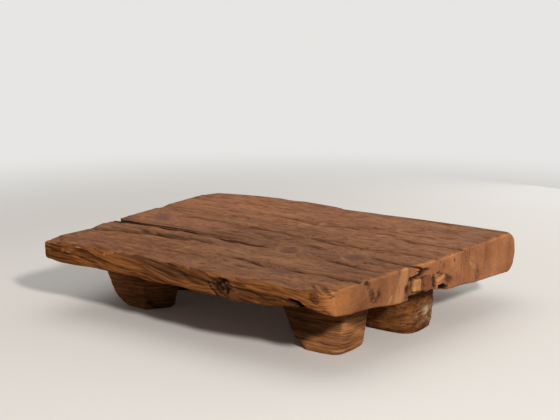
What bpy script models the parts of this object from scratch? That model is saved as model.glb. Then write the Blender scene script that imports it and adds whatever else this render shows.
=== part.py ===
"""Low hewn dining table: two thick planks on four stub legs, held by hidden joinery.

Metres, +Z up, the front edge faces -Y and the planks run along X.
"""
import math

import bmesh
import bpy
from mathutils import Matrix, Vector

for old_object in list(bpy.data.objects):
    bpy.data.objects.remove(old_object, do_unlink=True)

# Overall size. The top is wider at the back than at the front.
REAR_LENGTH = 0.914
FRONT_LENGTH = 0.786
DEPTH = 0.769
HEIGHT = 0.180

# One fit for every joint: the room left on each side of a piece.
CLEARANCE = 0.0003

# Plank thickness, thin along the front edge and heavy along the back.
FRONT_THICKNESS = 0.048
REAR_THICKNESS = 0.086
END_SWELL = 0.007
END_SWELL_REACH = 0.30

# Tool marks: how deep they are, how far apart along and across the grain, and
# how far each row of them is shifted from the row before. The top is flat
# between its dips, and the land is the level of the marks where a dip starts.
TOP_WEAR = 0.0030
TOP_LAND = 0.25
TOP_WAVE_ALONG = 0.165
TOP_WAVE_ACROSS = 0.142
UNDER_WEAR = 0.0032
UNDER_WAVE_ALONG = 0.238
UNDER_WAVE_ACROSS = 0.285
HEWN_SHIFT = 0.37
HEWN_START = 1.0
EDGE_WEAR = 0.0040
EDGE_WEAR_WAVE = 0.122

# The lower edge of the right end hangs down in front of the seam and is torn
# up behind it.
END_HANG = 0.008
END_HANG_AT = -0.125
END_HANG_REACH = 0.110
END_RISE = 0.010
END_RISE_AT = -0.040
END_RISE_REACH = 0.085
END_WAVE_RUN = 0.095

# Wood torn away from under the front edge, near the right corner.
BITE = 0.016
BITE_FROM_END = 0.064
BITE_REACH = 0.085
BITE_DEEP = 0.075

# The live front edge and the bowed, stepped rear edge.
EDGE_WANDER = 0.011
EDGE_WAVE = 0.96
EDGE_CREST = 0.244
REAR_BOW = 0.016
REAR_BOW_AT = 0.284
REAR_BOW_REACH = 0.17
REAR_STEP = 0.0225
REAR_STEP_AT = 0.47
REAR_STEP_RUN = 0.008
REAR_HOLLOW = 0.004
REAR_HOLLOW_AT = 0.72
REAR_HOLLOW_REACH = 0.25

# The seam between the planks: a wandering line that gapes at the left end.
SEAM_Y = -0.1125
SEAM_WANDER = 0.010
SEAM_WAVE = 0.68
SEAM_CREST = 0.26
SEAM_LIFT = 0.010
SEAM_LIFT_REACH = 0.13
SEAM_MOUTH = 0.008
SEAM_MOUTH_RUN = 0.30
SEAM_MOUTH_POWER = 1.7

# The ends: a hollow worn into the front plank, a swell left on the rear one.
LEFT_HOLLOW = 0.011
LEFT_HOLLOW_AT = 0.20
LEFT_HOLLOW_REACH = 0.13
RIGHT_SWELL = 0.010
RIGHT_SWELL_AT = 0.53
RIGHT_SWELL_REACH = 0.30

# Corner radii in plan and arris radii in section.
CORNER_RADIUS = {
    "front_left": 0.018,
    "front_right": 0.026,
    "rear_left": 0.030,
    "rear_right": 0.014,
    "seam_front": 0.003,
    "seam_rear": 0.034,
}
ARRIS_RADIUS = 0.008
FRONT_UNDER_RADIUS = 0.010
REAR_TOP_RADIUS = 0.036
REAR_UNDER_RADIUS = 0.036
SEAM_ARRIS_RADIUS = 0.002
END_ARRIS_RADIUS = {"left": 0.007, "right": 0.005}
ARRIS_SHARE = 0.90

# Mesh fineness.
STATION_SPACING = 0.028
ROW_SPACING = 0.035
CORNER_STATIONS = 3
ARC_STEPS = 3
LEG_POINTS = 32
LEG_RINGS = 10
LEG_RING_CROWDING = 1.9
SMOOTH_ANGLE = 35.0

# Legs: how far the middle of each stands from the end and from the middle line
# of the seam, its size at the top and how far each side draws in towards the sole.
# A skewed leg has its right side cut back, by one measure in front and one behind.
LEGS = {
    "front_left": {"from_end": 0.141, "from_seam": 0.0626, "width": 0.200, "depth": 0.074,
                   "left": 0.056, "right": 0.009, "front": 0.0074, "rear": 0.014,
                   "skew_front": 0.064, "skew_rear": 0.008},
    "front_right": {"from_end": 0.154, "from_seam": 0.0634, "width": 0.181, "depth": 0.115,
                    "left": 0.054, "right": 0.017, "front": 0.002, "rear": 0.002},
    "rear_left": {"from_end": 0.114, "from_seam": 0.1487, "width": 0.140, "depth": 0.150,
                  "left": 0.022, "right": 0.006, "front": 0.012, "rear": 0.014},
    "rear_right": {"from_end": 0.129, "from_seam": 0.1487, "width": 0.140, "depth": 0.153,
                   "left": 0.0175, "right": 0.002, "front": 0.018, "rear": 0.016},
}
LEG_SQUARENESS = 4.2
HEEL_BASE = 0.003
HEEL_SHARE = 0.52
TAPER_POWER = 0.76
SHOULDER = 0.033
HOUSING = 0.006

# Blind tenons, spread inside the mortise by a hidden wedge.
TENON_WIDTH = 0.050
TENON_SPREAD = 0.003
TENON_DEPTH = 0.040
TENON_HEIGHT = 0.034
TENON_SUNK = 0.008
WEDGE_THICK = 0.005
WEDGE_THIN = 0.0014
WEDGE_HEIGHT = 0.024

# Loose tongues across the seam, each held by a peg in either plank.
TONGUES = {"left": 0.36, "middle": 0.51, "right": 0.66}
TONGUE_WIDTH = 0.068
TONGUE_REACH = 0.042
TONGUE_THICK = 0.014
TONGUE_BELOW_TOP = 0.034
PEG_DIAMETER = 0.010
PEG_FROM_SEAM = 0.024
PEG_COVER = 0.012
PEG_PROUD = 0.002
PEG_SIDES = 20
PEG_TIP = 0.003

# The torn right end of the seam: hollows pulled out of the wood, given as
# distance from the seam, depth below the top, then half width, half height,
# depth into the end and turn in degrees.
TORN_HOLLOWS = {
    "upper": {"beside": 0.032, "below": 0.021, "half": 0.030, "tall": 0.007, "deep": 0.020, "turn": 13.0},
    "around": {"beside": 0.046, "below": 0.046, "half": 0.046, "tall": 0.020, "deep": 0.009, "turn": -3.0},
    "between": {"beside": 0.087, "below": 0.048, "half": 0.006, "tall": 0.020, "deep": 0.020, "turn": 10.0},
    "side": {"beside": 0.139, "below": 0.052, "half": 0.017, "tall": 0.009, "deep": 0.010, "turn": -20.0},
    "under": {"beside": 0.122, "below": 0.068, "half": 0.022, "tall": 0.008, "deep": 0.024, "turn": -20.0},
}
# The pieces left in the torn end, with the same first two measures; a negative
# back means that the piece stands proud.
TORN_PIECES = {
    "torn_end_block": {"beside": 0.0245, "below": 0.0435, "wide": 0.030, "tall": 0.025,
                       "long": 0.050, "back": -0.002, "turn": -6.0, "corner": 0.0025},
    "torn_end_plug": {"beside": 0.067, "below": 0.048, "wide": 0.034, "tall": 0.034,
                      "long": 0.048, "back": 0.001, "turn": -4.0, "corner": 0.012},
    "torn_end_sliver": {"beside": 0.1065, "below": 0.0445, "wide": 0.036, "tall": 0.0070,
                        "long": 0.062, "back": -0.004, "turn": 7.0, "corner": 0.002},
}

# Splits that run in from the right end: distance from the front, length, width
# and depth at the mouth, and how much of the mouth is left at the tail.
SPLITS = {
    "front_plank": {"from_front": 0.118, "long": 0.130, "wide": 0.006, "deep": 0.030},
    "rear_plank": {"from_front": 0.486, "long": 0.090, "wide": 0.003, "deep": 0.024},
}
SPLIT_TAIL = 0.125

# The gouge worn into the top in front of the seam.
GOUGE_FROM_END = 0.180
GOUGE_FROM_SEAM = 0.065
GOUGE_HALF_LENGTH = 0.074
GOUGE_HALF_WIDTH = 0.016
GOUGE_DEPTH = 0.005

# The knot hole in the front edge and the slot torn out under the corner.
KNOT_ALONG = 0.664
KNOT_HALF_WIDTH = 0.018
KNOT_HALF_HEIGHT = 0.013
KNOT_BELOW = 0.023
KNOT_HOLLOW = 0.009
SLOT_FROM_END = 0.072
SLOT_LENGTH = 0.050
SLOT_HEIGHT = 0.011
SLOT_DEPTH = 0.018
SLOT_ABOVE_LOW = 0.004
SLOT_FALL = 28.0

RED_BROWN = (0.230, 0.092, 0.045)
DARK_BROWN = (0.118, 0.058, 0.030)
PALE_WOOD = (0.470, 0.250, 0.120)
PEG_BROWN = (0.160, 0.080, 0.042)
DULLNESS = 0.62


def smooth(value):
    t = min(max(value, 0.0), 1.0)
    return t * t * (3.0 - 2.0 * t)


def hill(value, centre, reach):
    t = min(abs(value - centre) / reach, 1.0)
    return (1.0 - t * t) ** 2


def round_in(distance, radius):
    """How far a corner of this radius draws in, this far from its end."""
    if distance >= radius:
        return 0.0
    return radius - math.sqrt(radius ** 2 - (radius - distance) ** 2)


def across(y):
    return y / DEPTH + 0.5


def half_length(v):
    return (FRONT_LENGTH + (REAR_LENGTH - FRONT_LENGTH) * v) / 2.0


def end_x(plank, y, u):
    """X of a point this far along the plank, between its two slanted ends."""
    v = across(y)
    left = -half_length(v)
    right = half_length(v)
    if plank == "front_plank":
        left += LEFT_HOLLOW * hill(v, LEFT_HOLLOW_AT, LEFT_HOLLOW_REACH)
    else:
        right += RIGHT_SWELL * hill(v, RIGHT_SWELL_AT, RIGHT_SWELL_REACH)
    return left + (right - left) * u


def front_edge(u):
    wave = math.cos(2.0 * math.pi * (u - EDGE_CREST) / EDGE_WAVE)
    worn = 1.0 + math.sin(2.0 * math.pi * u * FRONT_LENGTH / EDGE_WEAR_WAVE)
    return -DEPTH / 2.0 + EDGE_WANDER * (1.0 + wave) + EDGE_WEAR * worn / 2.0


def rear_edge(u):
    bowed = REAR_BOW * ((u - REAR_BOW_AT) / REAR_BOW_REACH) ** 2
    stepped = REAR_STEP + REAR_HOLLOW * ((u - REAR_HOLLOW_AT) / REAR_HOLLOW_REACH) ** 2
    past = smooth((u - REAR_STEP_AT) / REAR_STEP_RUN + 0.5)
    return DEPTH / 2.0 - bowed * (1.0 - past) - stepped * past


def seam(u):
    wander = SEAM_WANDER * math.cos(2.0 * math.pi * (u - SEAM_CREST) / SEAM_WAVE)
    return SEAM_Y + wander + SEAM_LIFT * hill(u, 0.0, SEAM_LIFT_REACH)


def seam_gap(u):
    gape = max(0.0, 1.0 - u / SEAM_MOUTH_RUN) ** SEAM_MOUTH_POWER
    return 2.0 * CLEARANCE + SEAM_MOUTH * gape


def tool_marks(u, y, wave_along, wave_across):
    """Crests and dips left by the hewing, from -1 to 1, in shifted rows."""
    turn_along = 2.0 * math.pi * u * FRONT_LENGTH / wave_along
    turn_across = 2.0 * math.pi * y / wave_across
    return math.sin(turn_along + HEWN_SHIFT * turn_across) * math.sin(turn_across + HEWN_START)


def top_level(u, y):
    dip = -TOP_LAND - tool_marks(u, y, TOP_WAVE_ALONG, TOP_WAVE_ACROSS)
    return HEIGHT - TOP_WEAR * max(dip, 0.0) / (1.0 - TOP_LAND)


def end_wave(plank, u, y):
    """How much lower the underside hangs near the right end."""
    near_end = smooth(1.0 - (1.0 - u) * FRONT_LENGTH / END_WAVE_RUN)
    if plank == "front_plank":
        return END_HANG * hill(y, END_HANG_AT, END_HANG_REACH) * near_end
    return -END_RISE * hill(y, END_RISE_AT, END_RISE_REACH) * near_end


def underside(plank, u, y):
    thickness = FRONT_THICKNESS + (REAR_THICKNESS - FRONT_THICKNESS) * across(y)
    thickness += END_SWELL * hill(u, 1.0, END_SWELL_REACH) + end_wave(plank, u, y)
    thickness += UNDER_WEAR * tool_marks(u, y, UNDER_WAVE_ALONG, UNDER_WAVE_ACROSS) / 2.0
    if plank == "front_plank":
        along = hill((1.0 - u) * FRONT_LENGTH, BITE_FROM_END, BITE_REACH)
        thickness -= BITE * along * hill(y, front_edge(u), BITE_DEEP)
    return HEIGHT - thickness


def plank_edges(plank, u):
    """Front and rear Y of a plank at one station, with its plan corners rounded."""
    from_left = u * FRONT_LENGTH
    from_right = (1.0 - u) * FRONT_LENGTH
    if plank == "front_plank":
        front = front_edge(u) + round_in(from_left, CORNER_RADIUS["front_left"])
        front += round_in(from_right, CORNER_RADIUS["front_right"])
        rear = seam(u) - seam_gap(u) / 2.0 - round_in(from_left, CORNER_RADIUS["seam_front"])
        return front, rear
    front = seam(u) + seam_gap(u) / 2.0 + round_in(from_left, CORNER_RADIUS["seam_rear"])
    rear = rear_edge(u) - round_in(from_left, CORNER_RADIUS["rear_left"])
    rear -= round_in(from_right, CORNER_RADIUS["rear_right"])
    return front, rear


def arc(centre_y, centre_z, radius, start, steps):
    """Points of a quarter turn in Y and Z, anticlockwise from the start angle."""
    points = []
    for step in range(steps + 1):
        angle = math.radians(start + 90.0 * step / steps)
        points.append((centre_y + radius * math.cos(angle), centre_z + radius * math.sin(angle)))
    return points


def fitting_radii(radii, height):
    """A pair of arris radii, made smaller where they would not fit the edge."""
    share = min(1.0, ARRIS_SHARE * height / sum(radii))
    return [radius * share for radius in radii]


def row_points(plank):
    """How many points the top and the bottom of a section have, for the widest place."""
    width = DEPTH / 2.0 + SEAM_Y if plank == "front_plank" else DEPTH / 2.0 - SEAM_Y
    return max(3, round(width / ROW_SPACING) + 1)


def plank_section(plank, u, inset):
    """Top row, front edge, bottom row and rear edge of one cross-section."""
    front, rear = plank_edges(plank, u)
    front += inset
    rear -= inset
    front_radii = (SEAM_ARRIS_RADIUS, SEAM_ARRIS_RADIUS)
    rear_radii = (SEAM_ARRIS_RADIUS, SEAM_ARRIS_RADIUS)
    if plank == "front_plank":
        front_radii = (ARRIS_RADIUS, FRONT_UNDER_RADIUS)
    else:
        rear_radii = (REAR_TOP_RADIUS, REAR_UNDER_RADIUS)
    front_radii = fitting_radii(front_radii, top_level(u, front) - underside(plank, u, front) - 2.0 * inset)
    rear_radii = fitting_radii(rear_radii, top_level(u, rear) - underside(plank, u, rear) - 2.0 * inset)
    count = row_points(plank)
    shares = [index / (count - 1) for index in range(count)]

    first = rear - rear_radii[0]
    last = front + front_radii[0]
    top_row = []
    for share in shares:
        y = first + (last - first) * share
        top_row.append((y, top_level(u, y) - inset))

    first = front + front_radii[1]
    last = rear - rear_radii[1]
    bottom_row = []
    for share in shares:
        y = first + (last - first) * share
        bottom_row.append((y, underside(plank, u, y) + inset))

    high = top_row[-1][1]
    low = bottom_row[0][1]
    front_side = arc(front + front_radii[0], high - front_radii[0], front_radii[0], 90.0, ARC_STEPS)[1:]
    front_side += arc(front + front_radii[1], low + front_radii[1], front_radii[1], 180.0, ARC_STEPS)[:-1]
    high = top_row[0][1]
    low = bottom_row[-1][1]
    rear_side = arc(rear - rear_radii[1], low + rear_radii[1], rear_radii[1], 270.0, ARC_STEPS)[1:]
    rear_side += arc(rear - rear_radii[0], high - rear_radii[0], rear_radii[0], 0.0, ARC_STEPS)[:-1]
    return top_row, front_side, bottom_row, rear_side


def end_stations(side):
    """Distance from the end and inset of each station where the end and its corners turn."""
    radius = END_ARRIS_RADIUS[side]
    stations = []
    for step in range(ARC_STEPS + 1):
        angle = 0.5 * math.pi * step / ARC_STEPS
        stations.append((radius * (1.0 - math.cos(angle)), radius * (1.0 - math.sin(angle))))
    widest = max(CORNER_RADIUS.values())
    for step in range(1, CORNER_STATIONS + 1):
        stations.append((radius + (widest - radius) * step / CORNER_STATIONS, 0.0))
    return stations


def plank_stations():
    """Places along the plank, close together near the ends and at the rear step."""
    left = [(distance / FRONT_LENGTH, inset) for distance, inset in end_stations("left")]
    right = [(1.0 - distance / FRONT_LENGTH, inset) for distance, inset in end_stations("right")]
    first = left[-1][0]
    last = right[-1][0]
    count = round((last - first) * FRONT_LENGTH / STATION_SPACING)
    middle = []
    for index in range(1, count):
        middle.append((first + (last - first) * index / count, 0.0))
    for side in (-0.5, 0.5):
        middle.append((REAR_STEP_AT + side * REAR_STEP_RUN, 0.0))
    return left + sorted(middle) + right[::-1]


def close_mesh(name, bm):
    bmesh.ops.recalc_face_normals(bm, faces=bm.faces)
    mesh = bpy.data.meshes.new(name)
    bm.to_mesh(mesh)
    bm.free()
    return mesh


def ring_faces(bm, rings):
    for lower, upper in zip(rings, rings[1:]):
        for index in range(len(lower)):
            following = (index + 1) % len(lower)
            bm.faces.new((lower[index], lower[following], upper[following], upper[index]))


def plank_mesh(plank):
    bm = bmesh.new()
    rings = []
    caps = []
    for u, inset in plank_stations():
        parts = plank_section(plank, u, inset)
        rows = []
        for part in parts:
            rows.append([bm.verts.new((end_x(plank, y, u), y, z)) for y, z in part])
        rings.append(rows[0] + rows[1] + rows[2] + rows[3])
        caps.append(rows)
    ring_faces(bm, rings)
    for top_row, front_side, bottom_row, rear_side in (caps[0], caps[-1]):
        facing = bottom_row[::-1]
        for index in range(len(top_row) - 1):
            bm.faces.new((top_row[index], top_row[index + 1], facing[index + 1], facing[index]))
        bm.faces.new([top_row[-1]] + front_side + [bottom_row[0]])
        bm.faces.new([bottom_row[-1]] + rear_side + [top_row[0]])
    return close_mesh(plank, bm)


def box_mesh(name, lower, upper, bottom, top):
    """A block from one half size at its bottom to another at its top."""
    bm = bmesh.new()
    rings = []
    for half_x, half_y, z in ((lower[0], lower[1], bottom), (upper[0], upper[1], top)):
        corners = ((-half_x, -half_y), (half_x, -half_y), (half_x, half_y), (-half_x, half_y))
        rings.append([bm.verts.new((x, y, z)) for x, y in corners])
    ring_faces(bm, rings)
    for ring in rings:
        bm.faces.new(ring)
    return close_mesh(name, bm)


def side_profile(draw, z, taper_top):
    """How far a leg's side stands in from its top, at this height."""
    heel = HEEL_BASE + HEEL_SHARE * draw
    rising = min(z / taper_top, 1.0) ** TAPER_POWER
    return draw * (1.0 - rising) + round_in(z, heel)


def leg_ring(leg, z, taper_top, room):
    """One level of a leg: a squarish outline whose sides draw in on their own."""
    half_width = leg["width"] / 2.0 + room
    half_depth = leg["depth"] / 2.0 + room
    points = []
    for index in range(LEG_POINTS):
        angle = 2.0 * math.pi * (index + 0.5) / LEG_POINTS
        cosine = math.cos(angle)
        sine = math.sin(angle)
        side_x = leg["right"] if cosine > 0.0 else leg["left"]
        side_y = leg["rear"] if sine > 0.0 else leg["front"]
        reach_x = half_width - side_profile(side_x, z, taper_top)
        reach_y = half_depth - side_profile(side_y, z, taper_top)
        x = math.copysign(abs(cosine) ** (2.0 / LEG_SQUARENESS), cosine) * reach_x
        y = math.copysign(abs(sine) ** (2.0 / LEG_SQUARENESS), sine) * reach_y
        if "skew_front" in leg:
            behind = (y + half_depth) / (2.0 * half_depth)
            skew = leg["skew_front"] + (leg["skew_rear"] - leg["skew_front"]) * behind
            x = min(x, half_width - skew - side_profile(leg["right"], z, taper_top))
        points.append((x, y, z))
    return points


def leg_mesh(name, leg, seat):
    taper_top = seat - SHOULDER
    shares = [(index / LEG_RINGS) ** LEG_RING_CROWDING for index in range(LEG_RINGS + 1)]
    levels = [taper_top * share for share in shares] + [seat]
    bm = bmesh.new()
    rings = []
    for z in levels:
        rings.append([bm.verts.new(point) for point in leg_ring(leg, z, taper_top, 0.0)])
    ring_faces(bm, rings)
    for ring in (rings[0], rings[-1]):
        bm.faces.new(ring)
    return close_mesh(name, bm)


def housing_mesh(name, leg, seat):
    """The pocket that a leg's head stands in, cut a little larger than the leg."""
    bm = bmesh.new()
    rings = []
    outline = leg_ring(leg, seat, seat - SHOULDER, CLEARANCE)
    for z in (seat - SHOULDER, seat + CLEARANCE):
        rings.append([bm.verts.new((point[0], point[1], z)) for point in outline])
    ring_faces(bm, rings)
    for ring in rings:
        bm.faces.new(ring)
    return close_mesh(name, bm)


def tenon_mesh(name, seat, room):
    """The spread tenon; with room it is the mortise that takes it."""
    lower = (TENON_WIDTH / 2.0 + room, TENON_DEPTH / 2.0 + room)
    upper = (lower[0] + TENON_SPREAD, lower[1])
    return box_mesh(name, lower, upper, seat - TENON_SUNK, seat + TENON_HEIGHT + room)


def wedge_mesh(name, seat, room, over):
    """The wedge in the tenon's kerf; over lets the kerf run out past the tenon."""
    top = seat + TENON_HEIGHT
    half_depth = TENON_DEPTH / 2.0 + over
    slope = (WEDGE_THICK - WEDGE_THIN) / 2.0 / WEDGE_HEIGHT
    lower = (WEDGE_THIN / 2.0 - slope * room + room, half_depth)
    upper = (WEDGE_THICK / 2.0 + slope * over + room, half_depth)
    return box_mesh(name, lower, upper, top - WEDGE_HEIGHT - room, top + over)


def rod_mesh(name, radius, bottom, top, tip):
    """A whittled peg, drawn in at its upper tip."""
    bm = bmesh.new()
    rings = []
    for z, reach in ((bottom, radius), (top - tip, radius), (top, radius - tip / 2.0)):
        ring = []
        for index in range(PEG_SIDES):
            angle = 2.0 * math.pi * index / PEG_SIDES
            ring.append(bm.verts.new((reach * math.cos(angle), reach * math.sin(angle), z)))
        rings.append(ring)
    ring_faces(bm, rings)
    for ring in (rings[0], rings[-1]):
        bm.faces.new(ring)
    return close_mesh(name, bm)


def bar_mesh(name, piece, room, over):
    """A bar along X, ending at its own origin, with rounded long corners."""
    half_wide = piece["wide"] / 2.0 + room
    half_tall = piece["tall"] / 2.0 + room
    corner = piece["corner"]
    outline = []
    quarters = ((0.0, 1.0, 1.0), (90.0, -1.0, 1.0), (180.0, -1.0, -1.0), (270.0, 1.0, -1.0))
    for start, side_y, side_z in quarters:
        centre = (side_y * (half_wide - corner), side_z * (half_tall - corner))
        outline += arc(centre[0], centre[1], corner, start, ARC_STEPS)
    bm = bmesh.new()
    rings = []
    for x in (-piece["long"] - room, over):
        rings.append([bm.verts.new((x, y, z)) for y, z in outline])
    ring_faces(bm, rings)
    for ring in rings:
        bm.faces.new(ring)
    return close_mesh(name, bm)


def ball_mesh(name, half_x, half_y, half_z):
    bm = bmesh.new()
    size = Matrix.Diagonal((half_x, half_y, half_z, 1.0))
    bmesh.ops.create_icosphere(bm, subdivisions=2, radius=1.0, matrix=size)
    return close_mesh(name, bm)


def split_mesh(name, split):
    """A V-shaped split, widest at the origin and running out along -X."""
    half = split["wide"] / 2.0
    above = split["wide"]
    bm = bmesh.new()
    rings = []
    for x, share in ((-split["long"], SPLIT_TAIL), (split["deep"], 1.0)):
        outline = ((-half * share, above), (0.0, -split["deep"] * share), (half * share, above))
        rings.append([bm.verts.new((x, y, z)) for y, z in outline])
    ring_faces(bm, rings)
    for ring in rings:
        bm.faces.new(ring)
    return close_mesh(name, bm)


table = bpy.data.objects.new("table", None)
bpy.context.collection.objects.link(table)


def wood(name, colour):
    material = bpy.data.materials.new(name + "_wood")
    material.use_nodes = True
    shader = material.node_tree.nodes["Principled BSDF"]
    shader.inputs["Base Color"].default_value = colour + (1.0,)
    shader.inputs["Roughness"].default_value = DULLNESS
    shader.inputs["Metallic"].default_value = 0.0
    material.diffuse_color = colour + (1.0,)
    return material


def place(name, mesh, location, turn=0.0):
    placed = bpy.data.objects.new(name, mesh)
    bpy.context.collection.objects.link(placed)
    placed.parent = table
    placed.location = Vector(location)
    placed.rotation_euler = (math.radians(turn), 0.0, 0.0)
    return placed


def add_piece(name, mesh, colour, location=(0.0, 0.0, 0.0), turn=0.0):
    piece = place(name, mesh, location, turn)
    mesh.materials.append(wood(name, colour))
    mesh.shade_smooth()
    mesh.set_sharp_from_angle(angle=math.radians(SMOOTH_ANGLE))
    return piece


def add_cutter(name, mesh, location, turn=0.0):
    cutter = place(name + "_cutter", mesh, location, turn)
    cutter.hide_render = True
    cutter.display_type = "WIRE"
    return cutter


def combine(piece, other, operation):
    boolean = piece.modifiers.new(other.name, "BOOLEAN")
    boolean.operation = operation
    boolean.solver = "EXACT"
    boolean.object = other


def cut(piece, cutter):
    combine(piece, cutter, "DIFFERENCE")


planks = {name: add_piece(name, plank_mesh(name), RED_BROWN) for name in ("front_plank", "rear_plank")}


def add_leg(name, leg):
    """A leg with its blind tenon, the wedge in it, and the cuts in its plank."""
    plank = "front_plank" if name.startswith("front") else "rear_plank"
    y = SEAM_Y - leg["from_seam"] if plank == "front_plank" else SEAM_Y + leg["from_seam"]
    left = end_x(plank, y, 0.0)
    right = end_x(plank, y, 1.0)
    x = left + leg["from_end"] if name.endswith("left") else right - leg["from_end"]
    front_lip = underside(plank, (x - left) / (right - left), y - leg["depth"] / 2.0)
    seat = front_lip + HOUSING
    spot = (x, y, 0.0)

    piece = add_piece(name + "_leg", leg_mesh(name + "_leg", leg, seat), DARK_BROWN, spot)
    combine(piece, add_cutter(name + "_tenon", tenon_mesh(name + "_tenon", seat, 0.0), spot), "UNION")
    kerf = wedge_mesh(name + "_kerf", seat, CLEARANCE, SHOULDER)
    cut(piece, add_cutter(name + "_kerf", kerf, spot))
    add_piece(name + "_wedge", wedge_mesh(name + "_wedge", seat, 0.0, 0.0), PEG_BROWN, spot)

    cut(planks[plank], add_cutter(name + "_housing", housing_mesh(name + "_housing", leg, seat), spot))
    mortise = tenon_mesh(name + "_mortise", seat, CLEARANCE)
    cut(planks[plank], add_cutter(name + "_mortise", mortise, spot))


def add_tongue(side, u):
    """A loose tongue across the seam, its slot, and the peg through either end."""
    name = "seam_tongue_" + side
    y = seam(u)
    x = end_x("rear_plank", y, u)
    level = HEIGHT - TONGUE_BELOW_TOP
    half = (TONGUE_WIDTH / 2.0, TONGUE_REACH)
    roomy = (half[0] + CLEARANCE, half[1] + CLEARANCE)
    half_thick = TONGUE_THICK / 2.0
    tongue = add_piece(name, box_mesh(name, half, half, -half_thick, half_thick), PEG_BROWN, (x, y, level))
    slot = box_mesh(name + "_slot", roomy, roomy, -half_thick - CLEARANCE, half_thick + CLEARANCE)
    slot_cutter = add_cutter(name + "_slot", slot, (x, y, level))
    for plank, direction in (("front_plank", -1.0), ("rear_plank", 1.0)):
        cut(planks[plank], slot_cutter)
        peg_name = "seam_peg_" + plank.split("_")[0] + "_" + side
        peg_y = y + direction * PEG_FROM_SEAM
        bottom = underside(plank, u, peg_y) - PEG_PROUD
        top = HEIGHT - PEG_COVER
        radius = PEG_DIAMETER / 2.0
        peg = rod_mesh(peg_name, radius, bottom, top, PEG_TIP)
        add_piece(peg_name, peg, PEG_BROWN, (x, peg_y, 0.0))
        hole = rod_mesh(peg_name + "_hole", radius + CLEARANCE, bottom - PEG_PROUD, top + CLEARANCE, PEG_TIP)
        hole_cutter = add_cutter(peg_name + "_hole", hole, (x, peg_y, 0.0))
        cut(planks[plank], hole_cutter)
        cut(tongue, hole_cutter)


def torn_spot(beside, below, back):
    """A point on the torn right end, measured from the seam and from the top."""
    y = seam(1.0) + beside
    return end_x("rear_plank", y, 1.0) - back, y, HEIGHT - below


def add_torn_end():
    """The hollows torn out at the right end of the seam and the pieces left in it."""
    for name, hollow in TORN_HOLLOWS.items():
        ball = ball_mesh("torn_" + name, hollow["deep"], hollow["half"], hollow["tall"])
        spot = torn_spot(hollow["beside"], hollow["below"], 0.0)
        cutter = add_cutter("torn_" + name, ball, spot, hollow["turn"])
        for plank in planks.values():
            cut(plank, cutter)
    for name, piece in TORN_PIECES.items():
        spot = torn_spot(piece["beside"], piece["below"], piece["back"])
        add_piece(name, bar_mesh(name, piece, 0.0, 0.0), PALE_WOOD, spot, piece["turn"])
        socket = bar_mesh(name + "_socket", piece, CLEARANCE, piece["long"])
        cut(planks["rear_plank"], add_cutter(name + "_socket", socket, spot, piece["turn"]))


def add_splits():
    for plank, split in SPLITS.items():
        y = split["from_front"] - DEPTH / 2.0
        spot = (end_x(plank, y, 1.0), y, HEIGHT)
        cut(planks[plank], add_cutter(plank + "_split", split_mesh(plank + "_split", split), spot))


def add_gouge():
    """The long shallow hollow in the top, in front of the seam."""
    u = GOUGE_FROM_END / FRONT_LENGTH
    y = seam(u) - GOUGE_FROM_SEAM
    spot = (end_x("front_plank", y, 0.0) + GOUGE_FROM_END, y, top_level(u, y))
    gouge = ball_mesh("gouge", GOUGE_HALF_LENGTH, GOUGE_HALF_WIDTH, GOUGE_DEPTH)
    cut(planks["front_plank"], add_cutter("gouge", gouge, spot))


def add_edge_hollows():
    """The knot hole in the front edge and the slot torn out under the corner."""
    y = front_edge(KNOT_ALONG)
    knot = ball_mesh("knot", KNOT_HALF_WIDTH, KNOT_HOLLOW, KNOT_HALF_HEIGHT)
    spot = (end_x("front_plank", y, KNOT_ALONG), y, HEIGHT - KNOT_BELOW)
    cut(planks["front_plank"], add_cutter("knot", knot, spot))
    u = 1.0 - SLOT_FROM_END / FRONT_LENGTH
    y = front_edge(u)
    slot = ball_mesh("edge_slot", SLOT_LENGTH / 2.0, SLOT_DEPTH, SLOT_HEIGHT / 2.0)
    spot = (end_x("front_plank", y, u), y, underside("front_plank", u, y) + SLOT_ABOVE_LOW)
    cutter = add_cutter("edge_slot", slot, spot)
    cutter.rotation_euler[1] = math.radians(SLOT_FALL)
    cut(planks["front_plank"], cutter)


def centre_table():
    """Move the whole table so that its origin lies under the middle of the top."""
    spans = []
    for axis in (0, 1):
        values = [vertex.co[axis] for plank in planks.values() for vertex in plank.data.vertices]
        spans.append((min(values) + max(values)) / 2.0)
    table.location = Vector((-spans[0], -spans[1], 0.0))


for leg_name, leg_sizes in LEGS.items():
    add_leg(leg_name, leg_sizes)
for tongue_side, tongue_along in TONGUES.items():
    add_tongue(tongue_side, tongue_along)
add_torn_end()
add_splits()
add_gouge()
add_edge_hollows()
centre_table()
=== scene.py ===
import math
from types import SimpleNamespace

import bpy
import numpy as np
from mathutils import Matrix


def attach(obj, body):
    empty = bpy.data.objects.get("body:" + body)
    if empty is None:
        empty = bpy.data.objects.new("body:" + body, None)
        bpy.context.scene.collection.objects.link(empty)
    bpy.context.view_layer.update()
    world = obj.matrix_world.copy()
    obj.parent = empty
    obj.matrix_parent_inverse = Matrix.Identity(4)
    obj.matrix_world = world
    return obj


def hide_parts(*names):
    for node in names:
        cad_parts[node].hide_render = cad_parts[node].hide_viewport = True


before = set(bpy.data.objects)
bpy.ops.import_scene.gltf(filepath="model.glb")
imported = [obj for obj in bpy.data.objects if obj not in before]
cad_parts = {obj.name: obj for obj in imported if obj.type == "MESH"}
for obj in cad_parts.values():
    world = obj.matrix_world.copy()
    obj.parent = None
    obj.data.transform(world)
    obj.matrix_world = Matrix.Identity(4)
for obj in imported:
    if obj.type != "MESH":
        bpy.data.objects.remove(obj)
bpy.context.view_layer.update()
print("frame loaded:", len(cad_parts), "nodes")
centring = (-0.0015, -0.0001, 0.0)  # the solids are centred on their outline


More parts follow.
